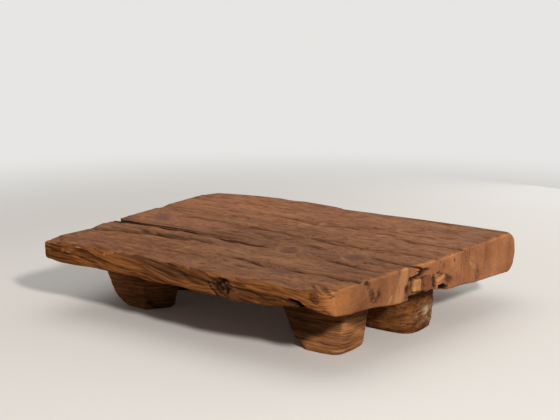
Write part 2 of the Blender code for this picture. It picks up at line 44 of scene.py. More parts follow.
# small helpers for shapes
def smoothStep(value, low=0.0, high=1.0):
    t = np.clip((value - low) / (high - low), 0.0, 1.0)
    return t * t * (3.0 - 2.0 * t)


def fadeOut(value, low, high):
    return 1.0 - smoothStep(value, low, high)


# 1 up to the first distance, 0 from the second on
def near(distance, full, reach):
    return smoothStep(-distance, -reach, -full)


def hill(value, centre, reach):
    t = np.minimum(np.abs(value - centre) / reach, 1.0)
    return (1.0 - t * t) ** 2


def roundIn(distance, radius):
    d = np.clip(distance, 0.0, radius)
    return radius - np.sqrt(radius ** 2 - (radius - d) ** 2)


# any large odd numbers do to mix the cell's place
cellMix = {"x": 374761393, "y": 668265263, "z": 1440662683, "seed": 974634777, "again": 1274126177,
           "keep": 0xFFFFFFFF, "last": 0xFFFF}
layering = {"finer": 2.03, "weaker": 0.5, "evenOut": 1.6}


def hashCell(i, j, k, seed):
    mix = cellMix
    h = (i * mix["x"] + j * mix["y"] + k * mix["z"] + seed * mix["seed"]) & mix["keep"]
    h = ((h ^ (h >> 13)) * mix["again"]) & mix["keep"]
    return ((h ^ (h >> 16)) & mix["last"]) / (mix["last"] / 2.0) - 1.0


# smooth value noise, -1 to 1
def noise(x, y, z, seed):
    x, y, z = np.broadcast_arrays(x, y, z)
    i, j, k = (np.floor(c).astype(np.int64) for c in (x, y, z))
    fx, fy, fz = (smoothStep(c - n) for c, n in ((x, i), (y, j), (z, k)))
    total = 0.0
    for dx, wx in ((0, 1.0 - fx), (1, fx)):
        for dy, wy in ((0, 1.0 - fy), (1, fy)):
            for dz, wz in ((0, 1.0 - fz), (1, fz)):
                total = total + wx * wy * wz * hashCell(i + dx, j + dy, k + dz, seed)
    return total


def roughness(x, y, z, seed, layers=3):
    total, size = 0.0, 1.0
    for layer in range(layers):
        step = layering["finer"] ** layer
        total = total + size * noise(x * step, y * step, z * step, seed + layer)
        size *= layering["weaker"]
    return total / layering["evenOut"]


def ridges(x, y, z, seed, layers=2):
    return 1.0 - 2.0 * np.abs(roughness(x, y, z, seed, layers))


# noise over a skin; its row is a seed step, then repeats per metre in x, y and z, and a shift takes
# another part of the noise
def ripple(skin, row, kind=noise, z=None, shift=(0.0, 0.0, 0.0)):
    step, perX, perY, perZ = row[:4]
    height = skin.z if z is None else z
    x, y = skin.x * perX + shift[0], skin.y * perY + shift[1]
    return kind(x, y, height * perZ + shift[2], skin.seed + step)


# a patch row goes on with the two noise levels that the patches fade between
def patches(skin, row, z=None, shift=(0.0, 0.0, 0.0)):
    return smoothStep(ripple(skin, row, noise, z, shift), *row[4:])


# what is painted on the points of a skin for its wood to read
paintNames = ("crack", "stain", "worn", "pale", "plum", "tone", "flow", "side", "endFace")


# a skin ready to be marked: where its points are, which way they face, and blank paint
def startSkin(points, faces, seed):
    x, y, z = points.T.copy()
    blank = {name: np.zeros(len(x)) for name in paintNames}
    return SimpleNamespace(points=points, faces=faces, normals=outward(points, faces), seed=seed,
                           x=x, y=y, z=z, raised=np.zeros(len(x)), paint=blank)


# keeps the stronger of the old mark and the new one
def mark(skin, name, amount):
    skin.paint[name] = np.maximum(skin.paint[name], amount)


def makeMesh(name, points, faces, paint, material):
    mesh = bpy.data.meshes.new(name)
    mesh.from_pydata((points + np.array(centring)).tolist(), [], faces)
    for key, values in paint.items():
        layer = mesh.attributes.new(key, "FLOAT", "POINT")
        layer.data.foreach_set("value", np.ascontiguousarray(values, dtype=np.float32))
    mesh.shade_smooth()
    mesh.materials.append(material)
    piece = bpy.data.objects.new(name, mesh)
    bpy.context.collection.objects.link(piece)
    mesh.update()
    print("made", name, len(points), "points", len(faces), "faces")
    return piece


def outward(points, faces):
    mesh = bpy.data.meshes.new("measure")
    mesh.from_pydata(points.tolist(), [], faces)
    normals = np.zeros(len(points) * 3, np.float32)
    mesh.vertex_normals.foreach_get("vector", normals)
    bpy.data.meshes.remove(mesh)
    return normals.reshape(-1, 3).astype(float)


# wood finish
def addNode(tree, kind, **values):
    node = tree.nodes.new(kind)
    for key, value in values.items():
        setattr(node, key, value)
    return node


def feed(tree, socket, value):
    if isinstance(value, bpy.types.NodeSocket):
        tree.links.new(value, socket)
    elif isinstance(value, tuple) and len(value) == 3 and socket.type == "RGBA":
        socket.default_value = value + (1.0,)
    else:
        socket.default_value = value


def reckon(tree, kind, a, b):
    node = addNode(tree, "ShaderNodeMath", operation=kind)
    feed(tree, node.inputs[0], a)
    feed(tree, node.inputs[1], b)
    return node.outputs[0]


def times(tree, a, b):
    return reckon(tree, "MULTIPLY", a, b)


def plus(tree, a, b):
    return reckon(tree, "ADD", a, b)


def spread(tree, value, low, high, toLow=0.0, toHigh=1.0):
    node = addNode(tree, "ShaderNodeMapRange", interpolation_type="SMOOTHSTEP")
    for index, entry in enumerate((value, low, high, toLow, toHigh)):
        feed(tree, node.inputs[index], entry)
    return node.outputs[0]


def tint(tree, share, a, b, kind="MIX"):
    node = addNode(tree, "ShaderNodeMix", data_type="RGBA", blend_type=kind)
    feed(tree, node.inputs[0], share)
    feed(tree, node.inputs[6], a)
    feed(tree, node.inputs[7], b)
    return node.outputs[2]


def speckle(tree, place, scale, detail, rough, twist=0.0):
    stretch = addNode(tree, "ShaderNodeVectorMath", operation="MULTIPLY")
    tree.links.new(place, stretch.inputs[0])
    stretch.inputs[1].default_value = scale
    grain = addNode(tree, "ShaderNodeTexNoise")
    tree.links.new(stretch.outputs[0], grain.inputs["Vector"])
    for key, value in (("Scale", 1.0), ("Detail", detail), ("Roughness", rough), ("Distortion", twist)):
        grain.inputs[key].default_value = value
    return grain.outputs[0]


def painted(tree, name):
    return addNode(tree, "ShaderNodeAttribute", attribute_name=name).outputs["Fac"]


# colours are linear; band, streak, fibre, mottle and cloud are repeats per metre in x, y and z
plankLook = {
    "dark": (0.122, 0.048, 0.021), "mid": (0.230, 0.096, 0.0435), "light": (0.316, 0.146, 0.071),
    "sideDark": (0.022, 0.0075, 0.003), "sideMid": (0.150, 0.0520, 0.0132),
    "sideLight": (0.330, 0.128, 0.034),
    "endDark": (0.150, 0.058, 0.026), "endMid": (0.262, 0.110, 0.050), "endLight": (0.350, 0.160, 0.078),
    "crack": (0.010, 0.005, 0.003), "stain": (0.048, 0.021, 0.012), "worn": (0.400, 0.155, 0.048),
    "pale": (0.430, 0.220, 0.105), "plum": (0.126, 0.054, 0.044),
    "band": (1.6, 17.0, 15.0), "streak": (4.5, 72.0, 270.0), "fibre": (20.0, 300.0, 460.0),
    "mottle": (12.0, 26.0, 40.0), "cloud": (2.6, 8.0, 8.0), "fall": 0.112, "rough": (0.62, 0.84),
    "relief": 0.0012, "grain": (0.28, 0.88), "blotch": (0.20, 0.40),
}
legLook = dict(plankLook)
legLook.update({
    "dark": (0.072, 0.027, 0.010), "mid": (0.188, 0.079, 0.029), "light": (0.330, 0.156, 0.062),
    "sideDark": (0.034, 0.013, 0.005), "worn": (0.380, 0.180, 0.070), "pale": (0.600, 0.450, 0.310),
    "band": (5.0, 6.0, 16.0), "streak": (9.0, 11.0, 235.0), "fibre": (26.0, 30.0, 420.0),
    "mottle": (30.0, 30.0, 60.0), "fall": 0.0, "rough": (0.66, 0.88), "relief": 0.0018,
    "grain": (0.60, 0.65), "blotch": (0.42, 0.45),
})
rearLegLook = dict(legLook)
rearLegLook.update({
    "dark": (0.058, 0.019, 0.006), "mid": (0.170, 0.058, 0.016), "light": (0.300, 0.124, 0.044),
    "streak": (50.0, 56.0, 120.0), "fibre": (110.0, 120.0, 330.0), "band": (9.0, 10.0, 14.0),
})
tornLook = dict(legLook)
tornLook.update({
    "dark": (0.400, 0.185, 0.072), "mid": (0.560, 0.272, 0.104), "light": (0.660, 0.360, 0.158),
    "sideDark": (0.260, 0.110, 0.042), "grain": (0.35, 0.35), "band": (9.0, 60.0, 60.0),
    "streak": (20.0, 170.0, 170.0), "fibre": (60.0, 700.0, 700.0), "mottle": (60.0, 90.0, 90.0),
})
plugLook = dict(tornLook)
plugLook.update({
    "dark": (0.140, 0.048, 0.022), "mid": (0.250, 0.094, 0.043), "light": (0.330, 0.140, 0.068),
    "sideDark": (0.060, 0.022, 0.010),
})
pegLook = dict(legLook)
pegLook.update({
    "dark": (0.090, 0.042, 0.021), "mid": (0.170, 0.082, 0.042), "light": (0.260, 0.140, 0.076),
})
# for every wood: the noise levels that a mark fades between, then its least and full strength
woodMarks = {
    "fields": {"band": (4.0, 0.6, 0.3), "streak": (4.0, 0.65), "fibre": (3.0, 0.65),
               "mottle": (5.0, 0.66), "cloud": (3.0, 0.55)},  # detail, roughness and twist of the noise
    # tones of the top, the hewn side and the end, and how strongly bands show there
    "faces": (("dark", "mid", "light", 0.6), ("sideDark", "sideMid", "sideLight", 0.9),
              ("endDark", "endMid", "endLight", 0.7)),
    "bandDark": (0.50, 0.30, 0.0), "bandLight": (0.52, 0.74, 0.0),
    "cloudDark": (0.50, 0.30, 0.0, 0.55), "cloudLight": (0.52, 0.72, 0.0, 0.45),
    "streakDark": (0.48, 0.38), "streakLight": (0.53, 0.64), "streakOnEnd": (0.0, 1.0, 1.0, 0.40),
    "hair": (0.48, 0.36, 0.0, 0.62), "hairOnEnd": (0.0, 1.0, 1.0, 0.45),
    "mottleWorn": (0.53, 0.74), "mottlePlum": (0.46, 0.28), "plum": 0.85,
    "worn": (0.30, 0.60, 0.35, 1.0), "pale": (0.25, 0.60, 0.55, 1.0), "stain": (0.70, 0.42, 0.35, 1.0),
    "dull": (0.30, 0.70), "crackDull": 0.2, "shine": 0.07,
    "bump": 0.85, "fibreBump": 0.4, "mottleBump": 0.4,
}


# the grain falls a little to the right and bends round the knots
def grainPlace(tree, look):
    flow = painted(tree, "flow")
    parts = addNode(tree, "ShaderNodeSeparateXYZ")
    tree.links.new(addNode(tree, "ShaderNodeTexCoord").outputs["Object"], parts.inputs[0])
    fall = plus(tree, times(tree, parts.outputs[0], look["fall"]), flow)
    bent = addNode(tree, "ShaderNodeCombineXYZ")
    tree.links.new(parts.outputs[0], bent.inputs[0])
    tree.links.new(plus(tree, parts.outputs[1], flow), bent.inputs[1])
    tree.links.new(plus(tree, parts.outputs[2], fall), bent.inputs[2])
    return bent.outputs[0]


def woodColour(tree, look, field):
    marks = woodMarks
    side, endFace = painted(tree, "side"), painted(tree, "endFace")

    def lay(wood, share, colour):
        return tint(tree, share, wood, colour)

    def levels(name, value):
        return spread(tree, value, *marks[name])

    tones = []
    for dark, mid, light, share in marks["faces"]:
        low = lay(look[mid], spread(tree, field["band"], *marks["bandDark"], share), look[dark])
        tones.append(lay(low, spread(tree, field["band"], *marks["bandLight"], share), look[light]))
    wood = lay(lay(tones[0], side, tones[1]), endFace, tones[2])
    wood = lay(wood, levels("cloudDark", field["cloud"]), look["dark"])
    wood = lay(wood, levels("cloudLight", field["cloud"]), look["light"])
    # streaks are strongest on the hewn edge
    strength = times(tree, spread(tree, side, 0.0, 1.0, *look["grain"]), levels("streakOnEnd", endFace))
    bright = tint(tree, side, look["light"], look["sideLight"])
    wood = lay(wood, times(tree, levels("streakDark", field["streak"]), strength), look["sideDark"])
    wood = lay(wood, times(tree, levels("streakLight", field["streak"]), strength), bright)
    hairs = times(tree, levels("hair", field["fibre"]), levels("hairOnEnd", endFace))
    wood = lay(wood, hairs, look["sideDark"])
    blotch = spread(tree, side, 0.0, 1.0, *look["blotch"])
    wood = lay(wood, times(tree, levels("mottleWorn", field["mottle"]), blotch), look["worn"])
    wood = lay(wood, times(tree, levels("mottlePlum", field["mottle"]), blotch), look["plum"])
    # then what is painted on the points
    wood = lay(wood, times(tree, painted(tree, "plum"), marks["plum"]), look["plum"])
    for name, fieldName in (("worn", "streak"), ("pale", "fibre"), ("stain", "mottle")):
        wood = lay(wood, times(tree, painted(tree, name), levels(name, field[fieldName])), look[name])
    wood = tint(tree, 1.0, wood, plus(tree, painted(tree, "tone"), 1.0), "MULTIPLY")
    return lay(wood, painted(tree, "crack"), look["crack"])


def makeWood(name, look):
    marks = woodMarks
    material = bpy.data.materials.new(name)
    material.use_nodes = True
    tree = material.node_tree
    shader = tree.nodes["Principled BSDF"]
    place = grainPlace(tree, look)
    field = {key: speckle(tree, place, look[key], *values) for key, values in marks["fields"].items()}
    tree.links.new(woodColour(tree, look, field), shader.inputs["Base Color"])

    least, most = look["rough"]
    dull = spread(tree, field["streak"], *marks["dull"], most, least)
    dull = plus(tree, dull, times(tree, painted(tree, "crack"), marks["crackDull"]))
    tree.links.new(dull, shader.inputs["Roughness"])
    shader.inputs["Specular IOR Level"].default_value = marks["shine"]

    fine = times(tree, field["fibre"], marks["fibreBump"])
    fine = plus(tree, fine, times(tree, field["mottle"], marks["mottleBump"]))
    bump = addNode(tree, "ShaderNodeBump")
    bump.inputs["Strength"].default_value = marks["bump"]
    bump.inputs["Distance"].default_value = look["relief"]
    tree.links.new(plus(tree, field["streak"], fine), bump.inputs["Height"])
    tree.links.new(bump.outputs[0], shader.inputs["Normal"])
    return material


plankWood = makeWood("oldPlankWood", plankLook)
legWood = makeWood("hewnLegWood", legLook)
rearLegWood = makeWood("hewnRearLegWood", rearLegLook)
tornWood = makeWood("freshTornWood", tornLook)
plugWood = makeWood("oldPlugWood", plugLook)
pegWood = makeWood("hiddenPegWood", pegLook)
print("finishes made")

# the planks: same outlines as the solids, with a finer skin; sizes and places in metres if not noted
top = {
    "frontLength": 0.786, "rearLength": 0.914, "depth": 0.769, "height": 0.180, "gap": 0.0001,
    "frontThick": 0.048, "rearThick": 0.086,
    "topWear": 0.0030, "topLand": 0.25, "topWaves": (0.165, 0.142),
    "underWear": 0.0032, "underWaves": (0.238, 0.285),
    "hewnShift": 0.37, "hewnStart": 1.0, "edgeWear": 0.0040, "edgeWearWave": 0.122,
    # waves, crests, places, runs and reaches as shares of the length
    "edgeWander": 0.011, "edgeWave": 0.96, "edgeCrest": 0.244, "endSwell": 0.007, "endSwellReach": 0.30,
    "rearBow": 0.016, "rearBowAt": 0.284, "rearBowReach": 0.17,
    "rearStep": 0.0225, "rearStepAt": 0.47, "rearStepRun": 0.008,
    "rearHollow": 0.004, "rearHollowAt": 0.72, "rearHollowReach": 0.25,
    "seamY": -0.1125, "seamWander": 0.010, "seamWave": 0.68, "seamCrest": 0.26,
    "seamLift": 0.010, "seamLiftReach": 0.13, "mouth": 0.008, "mouthRun": 0.30, "mouthPower": 1.7,
    # places and reaches as shares of the depth
    "leftHollow": 0.011, "leftHollowAt": 0.20, "leftHollowReach": 0.13,
    "rightSwell": 0.010, "rightSwellAt": 0.53, "rightSwellReach": 0.30,
    # metres again
    "rightSwellFrom": (-0.104, -0.076),
    "corners": {"frontLeft": 0.018, "frontRight": 0.026, "rearLeft": 0.030, "rearRight": 0.014,
                "seamFront": 0.003, "seamRear": 0.034},
    "arris": 0.008, "frontUnder": 0.010, "rearTop": 0.036, "rearUnder": 0.036, "seamArris": 0.0007,
    "leftArris": 0.007, "rightArris": 0.005, "arrisShare": 0.90,
    "endHang": 0.008, "endHangAt": -0.125, "endHangReach": 0.110, "endWaveRun": 0.095,
    "endRise": 0.010, "endRiseAt": -0.040, "endRiseReach": 0.085,
    "bite": 0.016, "biteFromEnd": 0.064, "biteReach": 0.085, "biteDeep": 0.075,
}
fullTurn = 2.0 * np.pi


def halfLength(v):
    return (top["frontLength"] + (top["rearLength"] - top["frontLength"]) * v) / 2.0


def endX(isFront, y, u):
    v = y / top["depth"] + 0.5
    left, right = -halfLength(v), halfLength(v)
    if isFront:
        left = left + top["leftHollow"] * hill(v, top["leftHollowAt"], top["leftHollowReach"])
    else:
        swell = top["rightSwell"] * hill(v, top["rightSwellAt"], top["rightSwellReach"])
        right = right + swell * smoothStep(y, *top["rightSwellFrom"])
    return left + (right - left) * u


def frontEdge(u):
    wander = top["edgeWander"] * (1.0 + np.cos(fullTurn * (u - top["edgeCrest"]) / top["edgeWave"]))
    worn = 1.0 + np.sin(fullTurn * u * top["frontLength"] / top["edgeWearWave"])
    return -top["depth"] / 2.0 + wander + top["edgeWear"] * worn / 2.0


def rearEdge(u):
    bowed = top["rearBow"] * ((u - top["rearBowAt"]) / top["rearBowReach"]) ** 2
    stepped = top["rearStep"] + top["rearHollow"] * ((u - top["rearHollowAt"]) / top["rearHollowReach"]) ** 2
    past = smoothStep((u - top["rearStepAt"]) / top["rearStepRun"] + 0.5)
    return top["depth"] / 2.0 - bowed * (1.0 - past) - stepped * past


def seamLine(u):
    wander = top["seamWander"] * np.cos(fullTurn * (u - top["seamCrest"]) / top["seamWave"])
    return top["seamY"] + wander + top["seamLift"] * hill(u, 0.0, top["seamLiftReach"])


def seamGap(u):
    return top["gap"] + top["mouth"] * np.maximum(0.0, 1.0 - u / top["mouthRun"]) ** top["mouthPower"]


# the lower edge of the right end hangs down in front of the seam and is torn up behind it
def endWave(u, y):
    hang = top["endHang"] * hill(y, top["endHangAt"], top["endHangReach"]) * (y < seamLine(u))
    rise = top["endRise"] * hill(y, top["endRiseAt"], top["endRiseReach"]) * (y >= seamLine(u))
    return (hang - rise) * smoothStep(1.0 - (1.0 - u) * top["frontLength"] / top["endWaveRun"])


# crests and dips left by the hewing, in shifted rows
def toolMarks(u, y, waves):
    turnAlong = fullTurn * u * top["frontLength"] / waves[0]
    turnAcross = fullTurn * y / waves[1]
    return np.sin(turnAlong + top["hewnShift"] * turnAcross) * np.sin(turnAcross + top["hewnStart"])


def topLevel(u, y):
    dip = np.maximum(-top["topLand"] - toolMarks(u, y, top["topWaves"]), 0.0)
    return top["height"] - top["topWear"] * dip / (1.0 - top["topLand"])


def underside(u, y):
    v = y / top["depth"] + 0.5
    thick = top["frontThick"] + (top["rearThick"] - top["frontThick"]) * v + endWave(u, y)
    thick = thick + top["endSwell"] * hill(u, 1.0, top["endSwellReach"])
    # wood torn away from under the front edge
    bite = hill((1.0 - u) * top["frontLength"], top["biteFromEnd"], top["biteReach"])
    thick = thick - top["bite"] * bite * hill(y, frontEdge(u), top["biteDeep"])
    return top["height"] - thick - top["underWear"] * toolMarks(u, y, top["underWaves"]) / 2.0


def plankEdges(isFront, u):
    corner = top["corners"]
    fromLeft, fromRight = u * top["frontLength"], (1.0 - u) * top["frontLength"]
    if isFront:
        front = frontEdge(u) + roundIn(fromLeft, corner["frontLeft"])
        front = front + roundIn(fromRight, corner["frontRight"])
        rear = seamLine(u) - seamGap(u) / 2.0 - roundIn(fromLeft, corner["seamFront"])
    else:
        front = seamLine(u) + seamGap(u) / 2.0 + roundIn(fromLeft, corner["seamRear"])
        rear = rearEdge(u) - roundIn(fromLeft, corner["rearLeft"]) - roundIn(fromRight, corner["rearRight"])
    return front, rear


# how finely each plank is divided, and how many small checks it has
frontPlank = {"along": 0.0034, "topRows": 140, "lowRows": 46, "turns": 8, "face": 42, "endColumns": 130,
              "seed": 11, "topChecks": 18, "edgeChecks": 90}
rearPlank = {"along": 0.0056, "topRows": 240, "lowRows": 76, "turns": 12, "face": 30, "endColumns": 230,
             "seed": 11, "topChecks": 26, "edgeChecks": 40}
endStations = {"turns": 7, "corner": 0.036, "cornerSteps": 9}  # closer together at the ends
faceMarks = {"top": 0, "front": 1, "under": 2, "rear": 3, "left": 4, "right": 5}


def stationList(spacing):
    length, turn = top["frontLength"], np.linspace(0.0, 0.5 * np.pi, endStations["turns"])
    away, insets = {}, {}
    for side in ("leftArris", "rightArris"):
        radius = top[side]
        corner = np.linspace(radius, endStations["corner"], endStations["cornerSteps"])[1:]
        away[side] = np.concatenate([radius * (1.0 - np.cos(turn)), corner])
        insets[side] = np.concatenate([radius * (1.0 - np.sin(turn)), 0.0 * corner])
    left, right = away["leftArris"], length - away["rightArris"][::-1]
    count = int((right[0] - left[-1]) / spacing)
    middle = np.linspace(left[-1], right[0], count + 1)[1:-1]
    inset = np.concatenate([insets["leftArris"], 0.0 * middle, insets["rightArris"][::-1]])
    return np.concatenate([left, middle, right]) / length, inset


# a side of the section: quarter turn, straight face, quarter turn
def sideRun(edge, inward, upperZ, lowerZ, radii, fine):
    upperR, lowerR = radii
    angles = np.linspace(0.0, 0.5 * np.pi, fine["turns"] + 1)
    ys, zs = [], []
    for a in angles[1:]:
        ys.append(edge + inward * upperR * (1.0 - np.sin(a)))
        zs.append(upperZ - upperR * (1.0 - np.cos(a)))
    for t in np.linspace(0.0, 1.0, fine["face"] + 2)[1:-1]:
        ys.append(edge + 0.0 * upperZ)
        zs.append((upperZ - upperR) * (1.0 - t) + (lowerZ + lowerR) * t)
    for a in angles[:-1]:
        ys.append(edge + inward * lowerR * (1.0 - np.cos(a)))
        zs.append(lowerZ + lowerR * (1.0 - np.sin(a)))
    return np.stack(ys, 1), np.stack(zs, 1)


# triangles between two rows of different counts, both from front to rear, upper one first
def zipRows(points, upper, lower, faces, flip):
    upperPlace, lowerPlace = points[upper, 1], points[lower, 1]
    upper, lower = upper.tolist(), lower.tolist()
    i = j = 0
    while i < len(upper) - 1 or j < len(lower) - 1:
        lowerDone, upperLeft = j == len(lower) - 1, i < len(upper) - 1
        if lowerDone or (upperLeft and upperPlace[i + 1] <= lowerPlace[j + 1]):
            face = (upper[i], lower[j], upper[i + 1])
            i += 1
        else:
            face = (upper[i], lower[j], lower[j + 1])
            j += 1
        faces.append(face[::-1] if flip else face)


# the upper and lower roundings of the front and rear sides, eased where the plank is thin
def fitRoundings(isFront, u, inset, front, rear):
    seam = (top["seamArris"], top["seamArris"])
    radii = ((top["arris"], top["frontUnder"]), seam)
    if not isFront:
        radii = (seam, (top["rearTop"], top["rearUnder"]))
    fitted = []
    for edge, pair in ((front, radii[0]), (rear, radii[1])):
        height = topLevel(u, edge) - underside(u, edge) - 2.0 * inset
        share = np.minimum(1.0, top["arrisShare"] * height / sum(pair))
        fitted.append([share * r for r in pair])
    return fitted


# one section at every station: rows across the top, down the front, under and up the rear
def plankSections(isFront, fine):
    u, inset = stationList(fine["along"])
    front, rear = plankEdges(isFront, u)
    seamInset = np.where(u < 0.5, inset, 0.0)
    front, rear = (front + inset, rear - seamInset) if isFront else (front + seamInset, rear - inset)
    frontR, rearR = fitRoundings(isFront, u, inset, front, rear)
    first, last = rear - rearR[0], front + frontR[0]
    topY = first[:, None] + (last - first)[:, None] * np.linspace(0.0, 1.0, fine["topRows"])
    topZ = topLevel(u[:, None], topY) - inset[:, None]
    first, last = front + frontR[1], rear - rearR[1]
    lowY = first[:, None] + (last - first)[:, None] * np.linspace(0.0, 1.0, fine["lowRows"])
    lowZ = underside(u[:, None], lowY) + inset[:, None]
    frontY, frontZ = sideRun(front, 1.0, topZ[:, -1], lowZ[:, 0], frontR, fine)
    rearY, rearZ = sideRun(rear, -1.0, topZ[:, 0], lowZ[:, -1], rearR, fine)
    return SimpleNamespace(u=u, inset=inset, ys=[topY, frontY, lowY, rearY[:, ::-1]],
                           zs=[topZ, frontZ, lowZ, rearZ[:, ::-1]])


# points inside an end face, row by row from the front side to the rear side
def endRows(isFront, sections, ring, across):
    topZ, frontZ, lowZ, rearZ = sections.zs
    frontY, rearY = sections.ys[1], sections.ys[3]
    u, inset, sides = sections.u[ring], sections.inset[ring], frontY.shape[1]
    rows = []
    for row in range(sides):
        fy, fz = frontY[ring, row], frontZ[ring, row]
        ry, rz = rearY[ring, sides - 1 - row], rearZ[ring, sides - 1 - row]
        y = fy + (ry - fy) * across
        lowAt = underside(u, y) + inset
        heightAt = topLevel(u, y) - inset - lowAt
        shareF = (fz - lowZ[ring, 0]) / (topZ[ring, -1] - lowZ[ring, 0])
        shareR = (rz - lowZ[ring, -1]) / (topZ[ring, 0] - lowZ[ring, -1])
        z = lowAt + heightAt * (shareF + (shareR - shareF) * across)
        rows.append(np.stack([endX(isFront, y, u), y, z], 1))
    return rows


def plankSkin(isFront, fine):
    sections = plankSections(isFront, fine)
    ys, zs = np.concatenate(sections.ys, 1), np.concatenate(sections.zs, 1)
    stations, loop = ys.shape
    xs = endX(isFront, ys, np.repeat(sections.u[:, None], loop, 1))
    tops, sides, lows = (rows.shape[1] for rows in sections.ys[:3])
    around = [faceMarks[side] for side in ("top", "front", "under", "rear")]
    label = np.repeat(around, (tops, sides, lows, sides))
    points = [np.stack([xs, ys, zs], 2).reshape(-1, 3)]
    labels = [np.tile(label, stations)]
    seamSide = faceMarks["rear" if isFront else "front"]
    labels[0][(stations - 1) * loop:][label == seamSide] = faceMarks["right"]
    start, column = np.arange(stations - 1)[:, None] * loop, np.arange(loop)[None, :]
    base, after = start + column, start + (column + 1) % loop
    faces = np.stack([base, after, after + loop, base + loop], 2).reshape(-1, 4).tolist()
    made = stations * loop
    across = np.linspace(0.0, 1.0, fine["endColumns"] + 2)[1:-1]
    for ring, flip, end in ((0, True, "left"), (stations - 1, False, "right")):
        ids = np.arange(loop) + ring * loop
        topIds, frontIds, lowIds, rearIds = np.split(ids, np.cumsum((tops, sides, lows)))
        inner = made + np.arange(sides * len(across)).reshape(sides, -1)
        grid = np.concatenate([frontIds[:, None], inner, rearIds[::-1, None]], 1)
        made += inner.size
        points.append(np.concatenate(endRows(isFront, sections, ring, across)))
        labels.append(np.full(inner.size, faceMarks[end]))
        a, b, c, d = grid[:-1, :-1], grid[1:, :-1], grid[1:, 1:], grid[:-1, 1:]
        order = (d, c, b, a) if flip else (a, b, c, d)
        faces += np.stack([o.ravel() for o in order], 1).tolist()
        everyPoint = np.concatenate(points)
        zipRows(everyPoint, topIds[::-1], grid[0], faces, flip)
        zipRows(everyPoint, grid[-1], lowIds, faces, flip)
    return np.concatenate(points), np.concatenate(labels), faces


# an oval mark: centre, half sizes and turn in degrees
def spot(a, b, halfA, halfB, turn=0.0, **more):
    return dict(at=(a, b), half=(halfA, halfB), turn=turn, **more)


# a cut along a run of points: half its width and its depth
def cut(half, deep, *run, **more):
    return dict(half=half, deep=deep, run=run, **more)


# 0 at the middle of an oval, 1 on its outline
def ovalShare(a, b, oval):
    turn = math.radians(oval["turn"])
    da, db = a - oval["at"][0], b - oval["at"][1]
    along = (da * math.cos(turn) + db * math.sin(turn)) / oval["half"][0]
    over = (-da * math.sin(turn) + db * math.cos(turn)) / oval["half"][1]
    return np.sqrt(along ** 2 + over ** 2)


# 1 inside a box with soft sides; a higher power makes them steeper
def boxShare(a, b, box, powers=(4, 4)):
    da, db = (a - box["at"][0]) / box["half"][0], (b - box["at"][1]) / box["half"][1]
    return np.exp(-da ** powers[0] - db ** powers[1])


# 1 along a run of points; past its ends it fades over a few half widths
def lineShare(a, b, run, half):
    at, fade = np.array(run), 3.0
    away = np.abs(b - np.interp(a, at[:, 0], at[:, 1]))
    outside = np.maximum(np.maximum(at[0, 0] - a, a - at[-1, 0]), 0.0)
    return np.exp(-(away / half) ** 2 - (outside / (fade * half)) ** 2)


checkLook = {"deep": (0.9, 1.8), "dark": (0.30, 0.75)}  # depth is a share of the half width


# short checks in the wood, scattered along the grain
def scatterChecks(draw, sort, count, across):
    checks = []
    for _ in range(count):
        a, b = draw.uniform(*sort["along"]), draw.uniform(*across)
        length, half = draw.uniform(*sort["long"]), draw.uniform(*sort["half"])
        tilt = draw.uniform(-sort["slope"], sort["slope"])
        middle = (a + length / 2.0, b + tilt * length / 2.0 + draw.uniform(-half, half))
        deep, dark = half * draw.uniform(*checkLook["deep"]), draw.uniform(*checkLook["dark"])
        checks.append(cut(half, deep, (a, b), middle, (a + length, b + tilt * length), dark=dark))
    return checks


